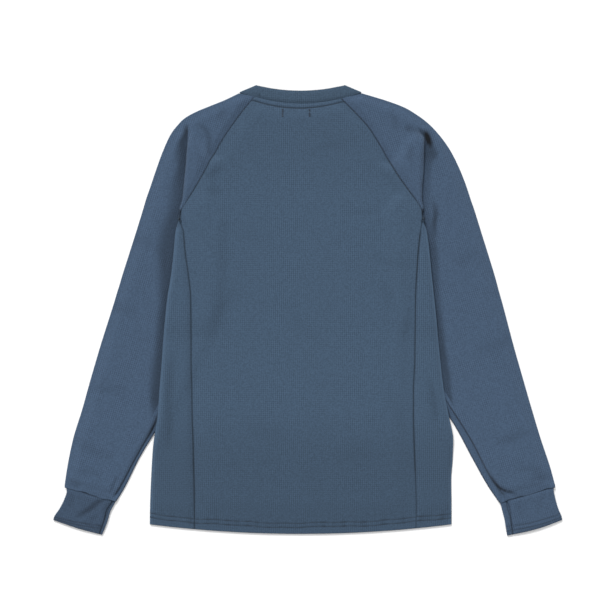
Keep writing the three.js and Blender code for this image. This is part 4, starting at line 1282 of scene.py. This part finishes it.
# %% Make both cuffs
def make_cuff(side):
    middle, normal, places = cuff_grid(side)
    facing = np.clip(normal[..., 2], 0, 1)
    top, hem = places[:, None], (places[-1] - places)[:, None]
    seam = np.minimum(np.linalg.norm(middle - middle[:, :1], axis=-1),
                      np.linalg.norm(middle - middle[:, -1:], axis=-1))
    creases = crease_height(middle, CUFF_CREASES)
    lines = cuff_lines(middle, side)
    lift = np.maximum(air("cuff", top=top, hem=hem, seam=seam) + creases, LOWEST)
    lift = lift - CUFF_TOP_GROOVE * mark(top, 1.6)
    middle[..., 2] += facing * (lift - row_marks(hem, lines, CUFF_DIPS, 0.9))
    down_arm = unit(middle[4] - middle[0])
    overlap = CUFF_OVERLAP * rise(7.0 - top, 7.0) * (1 + normal[..., 2]) / 2
    share = np.clip((CUFF_EDGE - np.abs(middle[..., 0])) / (CUFF_WIDTH + 4), 0.0, 1.0)
    overlap += CUFF_BOW[side] * np.sin(np.pi * share) * rise(top - 20.0, 34.0)
    middle += overlap[..., None] * down_arm[None]
    # painted shadow under the sleeve's edge, of uneven strength, and painted shade along the seam, the
    # rows and the creases
    under = 0.8 + 0.35 * np.sin(0.11 * np.abs(middle[..., 0]) + 1.8)
    marks = np.maximum(under * mark(top, 2.6), CUFF_SEAM_SHADE * mark(seam, 1.2))
    marks = np.maximum(marks, row_marks(hem, lines, CUFF_ROW_SHADES, 0.8))
    marks = np.maximum(marks, np.clip(-creases, 0.0, 2.4) * CUFF_CREASE_SHADE)
    name = "cuff_left_cloth" if side == LEFT else "cuff_right_cloth"
    shade = facing * (CUFF_SHADE[side] + marks)
    return sheet_mesh(name, middle, normal, shade=shade), middle, normal


cuff_left, *cuff_left_grid = make_cuff(LEFT)
cuff_right, *cuff_right_grid = make_cuff(RIGHT)

# %% [markdown]
# ## Stitches
#
# Two rows of cover stitch hold the hem and the cuffs, and one row holds the neck seam flat. A stitch
# could be drawn in the material, but thread stands up from the cloth. So one stitch is modelled
# once, and then copied along lines that follow the cloth's own face.

# %% One stitch
STITCH = 2.5
STITCH_PITCH = 3.1
STITCH_WIDTH, STITCH_HEIGHT = 0.8, 0.42
bpy.ops.object.select_all(action="DESELECT")
bpy.ops.mesh.primitive_uv_sphere_add(segments=6, ring_count=4, radius=0.5,
                                     rotation=(0, math.pi / 2, 0))
stitch = bpy.context.object
bpy.ops.object.transform_apply(location=False, rotation=True, scale=False)
bpy.ops.object.mode_set(mode="EDIT")
bpy.ops.mesh.select_all(action="SELECT")
bpy.ops.transform.resize(value=(STITCH, STITCH_WIDTH, STITCH_HEIGHT))
bpy.ops.object.mode_set(mode="OBJECT")
# Blender may number a primitive's vertices in another order each time, so they are sorted by place
found = np.array([vertex.co[:] for vertex in stitch.data.vertices])
order = np.lexsort(np.round(found, 4).T)
STITCH_POINTS = found[order]
number = np.argsort(order).tolist()
STITCH_FACES = sorted([number[index] for index in face.vertices] for face in stitch.data.polygons)
bpy.data.objects.remove(stitch)
print("one stitch has", len(STITCH_FACES), "faces")

# %% Lines on the cloth
def line_on(points, normals, distance, from_last=True):
    """A line on the outer face, at a distance from the last or the first row of a grid."""
    rows, faces = (points[::-1], normals[::-1]) if from_last else (points, normals)
    away = np.linalg.norm(rows - rows[:1], axis=-1)
    line, facing = [], []
    for column in range(rows.shape[1]):
        at = distance[column] if np.ndim(distance) else distance
        line.append([np.interp(at, away[:, column], rows[:, column, k]) for k in range(3)])
        facing.append([np.interp(at, away[:, column], faces[:, column, k]) for k in range(3)])
    facing = unit(np.array(facing))
    return np.array(line) + facing * CLOTH / 2, facing


def at_place(place, done, values):
    """A row of numbers at one place along a line."""
    return np.array([np.interp(place, done, values[:, k]) for k in range(values.shape[1])])


def stitch_row(line, facing, length=STITCH, pitch=STITCH_PITCH, turn=0.0):
    """Copies of the stitch along a line, one after another."""
    steps = np.linalg.norm(np.diff(line, axis=0), axis=1)
    done = np.concatenate([[0], np.cumsum(steps)])
    copies = []
    for place in np.arange(pitch, done[-1] - pitch / 2, pitch):
        centre = at_place(place, done, line)
        up = unit(at_place(place, done, facing))
        along = unit(at_place(place + 0.6, done, line) - centre)
        along = unit(along - up * along.dot(up))
        beside = np.cross(up, along)
        along = along * math.cos(turn) + beside * math.sin(turn)
        beside = np.cross(up, along)
        shape = STITCH_POINTS * (length / STITCH, 1.0, 1.0)
        copies.append(centre + shape @ np.array([along, beside, up]))
    return copies


def stitches_mesh(name, copies):
    count = len(STITCH_POINTS)
    points = np.concatenate(copies) * MM
    starts = range(0, count * len(copies), count)
    faces = [[index + start for index in face] for start in starts for face in STITCH_FACES]
    mesh = bpy.data.meshes.new(name)
    mesh.from_pydata(points.tolist(), [], faces)
    mesh.shade_smooth()
    piece = bpy.data.objects.new(name, mesh)
    bpy.context.scene.collection.objects.link(piece)
    print(name, len(copies), "stitches")
    return piece


print("stitches are", STITCH_PITCH, "mm apart")

# %% Hem, cuff and neck stitches
# the neck's row stops this many columns short of the shoulders
NECK_ENDS = 6
UNDER = slice(WRAP_TOP + WRAP_BEND + NECK_ENDS, -WRAP_TOP - WRAP_BEND - NECK_ENDS)


def stitched(name, points, normals, distances, from_last=True):
    copies = []
    for distance in distances:
        copies += stitch_row(*line_on(points, normals, distance, from_last))
    return stitches_mesh(name, copies)


def hem_stitches(name, points, normals):
    return stitched(name, points, normals, hem_lines(points[-1, :, 0]))


def neck_stitches(name, points, normals, columns):
    return stitched(name, points[:, columns], normals[:, columns], [NECK_LINE], False)


def cuff_stitches(name, points, normals, side):
    return stitched(name, points, normals, cuff_lines(points[-1], side))


back_hem = hem_stitches("back_hem_stitches", back_points, back_normals)
front_hem = hem_stitches("front_hem_stitches", front_points, front_normals)
middle_columns = slice(NECK_ENDS, -NECK_ENDS)
back_neck = neck_stitches("back_neck_stitches", back_points, back_normals, middle_columns)
front_neck = neck_stitches("front_neck_stitches", front_points, front_normals, UNDER)
cuff_left_rows = cuff_stitches("cuff_left_stitches", *cuff_left_grid, LEFT)
cuff_right_rows = cuff_stitches("cuff_right_stitches", *cuff_right_grid, RIGHT)

# %% [markdown]
# Two short upright bars of close stitches sit below the neck seam on the back.

# %% Bar tacks
# x, upper end, lower end
TACKS = [(-39.6, 318.5, 304.5), (3.0, 318.0, 304.5)]
TACK_LIFT = 0.08
TACK_LENGTH, TACK_PITCH, TACK_TURN = 3.4, 0.9, math.radians(84)
TACK_POINTS = 9


def back_height(x, y):
    """Height of the back's outer face at a place, from its nearest grid point."""
    away = (back_points[..., 0] - x) ** 2 + (back_points[..., 1] - y) ** 2
    return back_points.reshape(-1, 3)[np.argmin(away)][2] + CLOTH / 2 + TACK_LIFT


tack_copies = []
for x, high, low in TACKS:
    line = [(x, y, back_height(x, y)) for y in np.linspace(high, low, TACK_POINTS)]
    facing = np.tile((0.0, 0.0, 1.0), (TACK_POINTS, 1))
    tack_copies += stitch_row(np.array(line), facing, TACK_LENGTH, TACK_PITCH, TACK_TURN)
tacks = stitches_mesh("back_bar_tacks", tack_copies)

# %% [markdown]
# ## Thermal knit
#
# The cloth is a fine waffle knit of a slate-blue cotton mix: rows of small cells, a little over
# 3 mm apart, with no shine. The colour is nearly even; the cells show by a bump and by painted shade.

# %% Colours and nodes
def linear(hex_colour):
    """An sRGB hex colour as linear numbers."""
    parts = [int(hex_colour[i:i + 2], 16) / 255 for i in (1, 3, 5)]
    return [p / 12.92 if p <= 0.04045 else ((p + 0.055) / 1.055) ** 2.4 for p in parts]


def shaded(colour, share):
    """A linear colour made darker or lighter, with its alpha."""
    return (*[c * share for c in colour], 1.0)


def add(tree, kind, settings=None, links=None):
    """Adds a node, sets its own settings and its sockets, and links sockets from others."""
    node = tree.nodes.new(kind)
    for key, value in (settings or {}).items():
        if isinstance(key, str) and hasattr(node, key):
            setattr(node, key, value)
        else:
            node.inputs[key].default_value = value
    for key, source in (links or {}).items():
        tree.links.new(source, node.inputs[key])
    return node


def new_material(name, roughness):
    material = bpy.data.materials.new(name)
    material.use_nodes = True
    shader = material.node_tree.nodes["Principled BSDF"]
    shader.inputs["Roughness"].default_value = roughness
    return material, material.node_tree, shader


print("slate blue in linear numbers:", np.round(linear("#3d5166"), 3))

# %% [markdown]
# The knit's pattern is the sum of two sets of soft bands at right angles, the ribs and the rows: lowest
# between four cells, where it bumps the surface down and paints shade into the colour. In the photograph
# the grid shows only here and there, so a large, soft noise fades it in and out. A fine noise is the
# fuzz of the cotton. Last comes the mesh attribute of painted shade and painted highlight.

# %% Knit material
CELL = 3.2 * MM
BANDS = 2 * math.pi / (20 * CELL)
KNIT_RELIEF = 0.5 * MM
# how much of the base colour: the ends of the heather and the cells' painted shade, a painted highlight,
# the darkest painted shade
HEATHER_AND_CELL_SHADE_DARK, HEATHER_AND_CELL_SHADE_LIGHT, PAINTED_FOLD_HIGHLIGHT, DARKEST_PAINTED_SHADE = 0.72, 1.16, 1.4, 0.06
# how much of the painted shade from the mesh reaches the colour
PAINTED_SHADE_SHARE = 0.63


def knit_material(name, colour, turn):
    """Soft cotton yarn, knitted to waffle cells. To the eye it is matt all over, with no highlight,
    a faint grid of shade that comes and goes, part bump and part painted shade, a heathered tone and a
    thin light fuzz at the edges."""
    material, tree, shader = new_material(name, 0.92)
    base = linear(colour)
    place = add(tree, "ShaderNodeTexCoord").outputs["Object"]
    turned = add(tree, "ShaderNodeMapping", {"Rotation": (0.0, 0.0, math.radians(turn))},
                 {"Vector": place}).outputs["Vector"]
    bands = {"wave_type": "BANDS", "Scale": BANDS, "Detail": 1.0, "Detail Scale": 2.0}
    ribs = add(tree, "ShaderNodeTexWave", {**bands, "bands_direction": "X", "Distortion": 0.6},
               {"Vector": turned})
    lines = add(tree, "ShaderNodeTexWave", {**bands, "bands_direction": "Y", "Distortion": 0.9},
                {"Vector": turned})
    weave = add(tree, "ShaderNodeMath", {"operation": "MULTIPLY_ADD", 1: 0.5, 2: -0.7},
                {0: lines.outputs["Fac"]})
    cells = add(tree, "ShaderNodeMath", {"operation": "MULTIPLY_ADD", 1: 0.9},
                {0: ribs.outputs["Fac"], 2: weave.outputs[0]})
    # patches some 20 mm across where the grid shows
    patch = add(tree, "ShaderNodeTexNoise", {"Scale": 48.0, "Detail": 2.0}, {"Vector": place})
    clear = add(tree, "ShaderNodeMath", {"operation": "MULTIPLY_ADD", "use_clamp": True, 1: 4.0,
                                         2: -1.6}, {0: patch.outputs["Fac"]})
    seen = add(tree, "ShaderNodeMath", {"operation": "MULTIPLY"},
               {0: cells.outputs[0], 1: clear.outputs[0]})
    # fuzz of 2 to 3 mm, coarser than the real one so that it shows in the picture
    fuzz = add(tree, "ShaderNodeTexNoise", {"Scale": 420.0, "Detail": 2.0}, {"Vector": place})
    heather = add(tree, "ShaderNodeMath", {"operation": "MULTIPLY_ADD", 1: 1.8, 2: -0.4},
                  {0: fuzz.outputs["Fac"]})
    yarn = add(tree, "ShaderNodeMath", {"operation": "ADD", "use_clamp": True},
               {0: heather.outputs[0], 1: seen.outputs[0]})
    # the heathered tone, with painted shade in the troughs between the cells
    plain = add(tree, "ShaderNodeMix", {"data_type": "RGBA", 6: shaded(base, HEATHER_AND_CELL_SHADE_DARK),
                                        7: shaded(base, HEATHER_AND_CELL_SHADE_LIGHT)}, {0: yarn.outputs[0]})
    # the mesh attribute: less than 0 paints a highlight on a fold, more than 0 paints shade into a seam
    # or a valley
    painted_shade = add(tree, "ShaderNodeAttribute", {"attribute_name": "painted_shade"}).outputs["Fac"]
    painted_highlight = add(tree, "ShaderNodeMath", {"operation": "MULTIPLY", "use_clamp": True, 1: -1.0},
               {0: painted_shade})
    lit = add(tree, "ShaderNodeMix", {"data_type": "RGBA", 7: shaded(base, PAINTED_FOLD_HIGHLIGHT)},
              {0: painted_highlight.outputs[0], 6: plain.outputs[2]})
    amount = add(tree, "ShaderNodeMath", {"operation": "MULTIPLY", "use_clamp": True,
                                          1: PAINTED_SHADE_SHARE}, {0: painted_shade})
    dark = add(tree, "ShaderNodeMix", {"data_type": "RGBA", 7: shaded(base, DARKEST_PAINTED_SHADE)},
               {0: amount.outputs[0], 6: lit.outputs[2]})
    relief = add(tree, "ShaderNodeMath", {"operation": "MULTIPLY_ADD", 1: 0.5},
                 {0: fuzz.outputs["Fac"], 2: seen.outputs[0]})
    bump = add(tree, "ShaderNodeBump", {"Strength": 0.5, "Distance": KNIT_RELIEF},
               {"Height": relief.outputs[0]})
    tree.links.new(dark.outputs[2], shader.inputs["Base Color"])
    tree.links.new(bump.outputs["Normal"], shader.inputs["Normal"])
    shader.inputs["Specular IOR Level"].default_value = 0.2
    shader.inputs["Sheen Weight"].default_value = 0.08
    shader.inputs["Sheen Roughness"].default_value = 0.6
    return material


# body and sleeves are cut from one cloth; the sleeves' copies are a little bluer, painted light for
# their nap, which lies the other way and takes the light differently; the band's copy is a little darker
BODY_KNIT = knit_material("waffle_knit_body", "#3d5166", 0)
LEFT_KNIT = knit_material("waffle_knit_sleeve_left", "#3f5269", 17)
RIGHT_KNIT = knit_material("waffle_knit_sleeve_right", "#3f5269", -17)
BAND_KNIT = knit_material("waffle_knit_band", "#3a4d60", 0)
print("cell", round(CELL * 1000, 1), "mm")

# %% [markdown]
# The thread is a darker blue than the cloth. Its twist is half a millimetre long, too fine for this
# picture, and shows only close by.

# %% Thread material
TWIST = 0.5 * MM


def thread_material(name, colour):
    """Spun polyester, two plies twisted together: a dark, slanting rope with a faint gloss."""
    material, tree, shader = new_material(name, 0.7)
    base = linear(colour)
    place = add(tree, "ShaderNodeTexCoord").outputs["Object"]
    plies = add(tree, "ShaderNodeTexWave", {"wave_type": "BANDS", "bands_direction": "DIAGONAL",
                "Scale": 2 * math.pi / (20 * TWIST), "Distortion": 0.4}, {"Vector": place})
    # painted shade in the grooves between the plies, which the bump also sinks
    tone = add(tree, "ShaderNodeMix", {"data_type": "RGBA", 6: shaded(base, 0.75),
                                       7: shaded(base, 1.15)}, {0: plies.outputs["Fac"]})
    bump = add(tree, "ShaderNodeBump", {"Strength": 0.4, "Distance": 0.1 * MM},
               {"Height": plies.outputs["Fac"]})
    tree.links.new(tone.outputs[2], shader.inputs["Base Color"])
    tree.links.new(bump.outputs["Normal"], shader.inputs["Normal"])
    return material


THREAD = thread_material("spun_polyester_thread", "#243141")
print("thread twist", round(TWIST * 1000, 1), "mm")

# %% [markdown]
# Each piece rides on the body "root" and stands in for its solid, which is hidden.

# %% Dress each piece
DRESS = [
    (back_cloth, "back", "body_knit", BODY_KNIT, (0.385, 0.70), 0.228),
    (front_cloth, "front", "body_knit", BODY_KNIT, (0.60, 0.66), 0.300),
    (sleeve_left, "sleeve_left", "sleeve_knit", LEFT_KNIT, (0.36, 0.72), 0.168),
    (sleeve_right, "sleeve_right", "sleeve_knit", RIGHT_KNIT, (0.36, 0.72), 0.176),
    (cuff_left, "cuff_left", "sleeve_knit", LEFT_KNIT, (0.165, 0.056), 0.0089),
    (cuff_right, "cuff_right", "sleeve_knit", RIGHT_KNIT, (0.175, 0.056), 0.0097),
    (neckband_cloth, "neckband", "band_knit", BAND_KNIT, (0.50, 0.02), 0.0094),
]
TRIM = {
    "back": [back_hem, back_neck, tacks],
    "front": [front_hem, front_neck],
    "cuff_left": [cuff_left_rows],
    "cuff_right": [cuff_right_rows],
}
for piece, node, slot_name, material, flat, area in DRESS:
    piece.data.materials.append(material)
    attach(piece, "root")
    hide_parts(node)
    trim = TRIM.get(node, [])
    for seam in trim:
        seam.data.materials.append(THREAD)
        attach(seam, "root")
print(len(DRESS), "pieces dressed")

# %% [markdown]
# ## Floor, light and camera
#
# The top was photographed from straight above on white, in soft light.

# %% Floor
FLOOR_SIZE = 6.0
FLOOR_DROP = 0.6 * MM
bpy.ops.object.select_all(action="DESELECT")
bpy.ops.mesh.primitive_plane_add(size=FLOOR_SIZE, location=(0.0, 0.0, -FLOOR_DROP))
floor = bpy.context.object
floor.name = "surface"
# uncoated studio paper: white and matt, so it shows only the soft shadow round the cloth
paper, _, paper_shader = new_material("pale_paper", 0.9)
paper_shader.inputs["Base Color"].default_value = (*linear("#fcfcfc"), 1.0)
floor.data.materials.append(paper)
print("floor", FLOOR_SIZE, "m wide")

# %% [markdown]
# One wide sun stands low beyond the top edge of the picture, so that the hem and the cuffs throw a
# soft shadow downwards. A white sky fills in the rest.

# %% Lights
SUN_WAY = (0.35, -0.95, -0.75)
SUN_STRENGTH, SUN_WIDTH = 2.6, 22.0
SKY_STRENGTH = 0.72
sun_data = bpy.data.lights.new("key", "SUN")
sun_data.energy = SUN_STRENGTH
sun_data.angle = math.radians(SUN_WIDTH)
sun = bpy.data.objects.new("key", sun_data)
bpy.context.scene.collection.objects.link(sun)
sun.rotation_mode = "QUATERNION"
sun.rotation_quaternion = Vector(SUN_WAY).to_track_quat("-Z", "Y")
world = bpy.data.worlds.new("studio")
world.use_nodes = True
sky = world.node_tree.nodes["Background"]
sky.inputs["Color"].default_value = (1.0, 1.0, 1.0, 1.0)
sky.inputs["Strength"].default_value = SKY_STRENGTH
bpy.context.scene.world = world
bpy.context.scene.view_settings.view_transform = "Standard"
print("sun", SUN_STRENGTH, "sky", SKY_STRENGTH)

# %% [markdown]
# The camera looks straight down from high up with a long lens, so that nothing leans. Its picture is
# 600 pixels wide, and the origin is the pixel in the middle of the garment.

# %% Camera
PIXEL = 1.58 * MM
PICTURE = 600
ORIGIN_PIXEL = (307.75, 310.3)
SENSOR, LENS = 36.0, 135.0
camera_data = bpy.data.cameras.new("overhead")
camera_data.sensor_width = SENSOR
camera_data.lens = LENS
camera_data.clip_end = 20.0
camera = bpy.data.objects.new("overhead", camera_data)
bpy.context.scene.collection.objects.link(camera)
across_x = (PICTURE / 2 - ORIGIN_PIXEL[0]) * PIXEL
up_y = (ORIGIN_PIXEL[1] - PICTURE / 2) * PIXEL
height = PICTURE * PIXEL / 2 / math.tan(math.atan(SENSOR / 2 / LENS))
camera.location = (across_x, up_y, height)
bpy.context.scene.camera = camera
print("camera", round(height, 2), "m up")
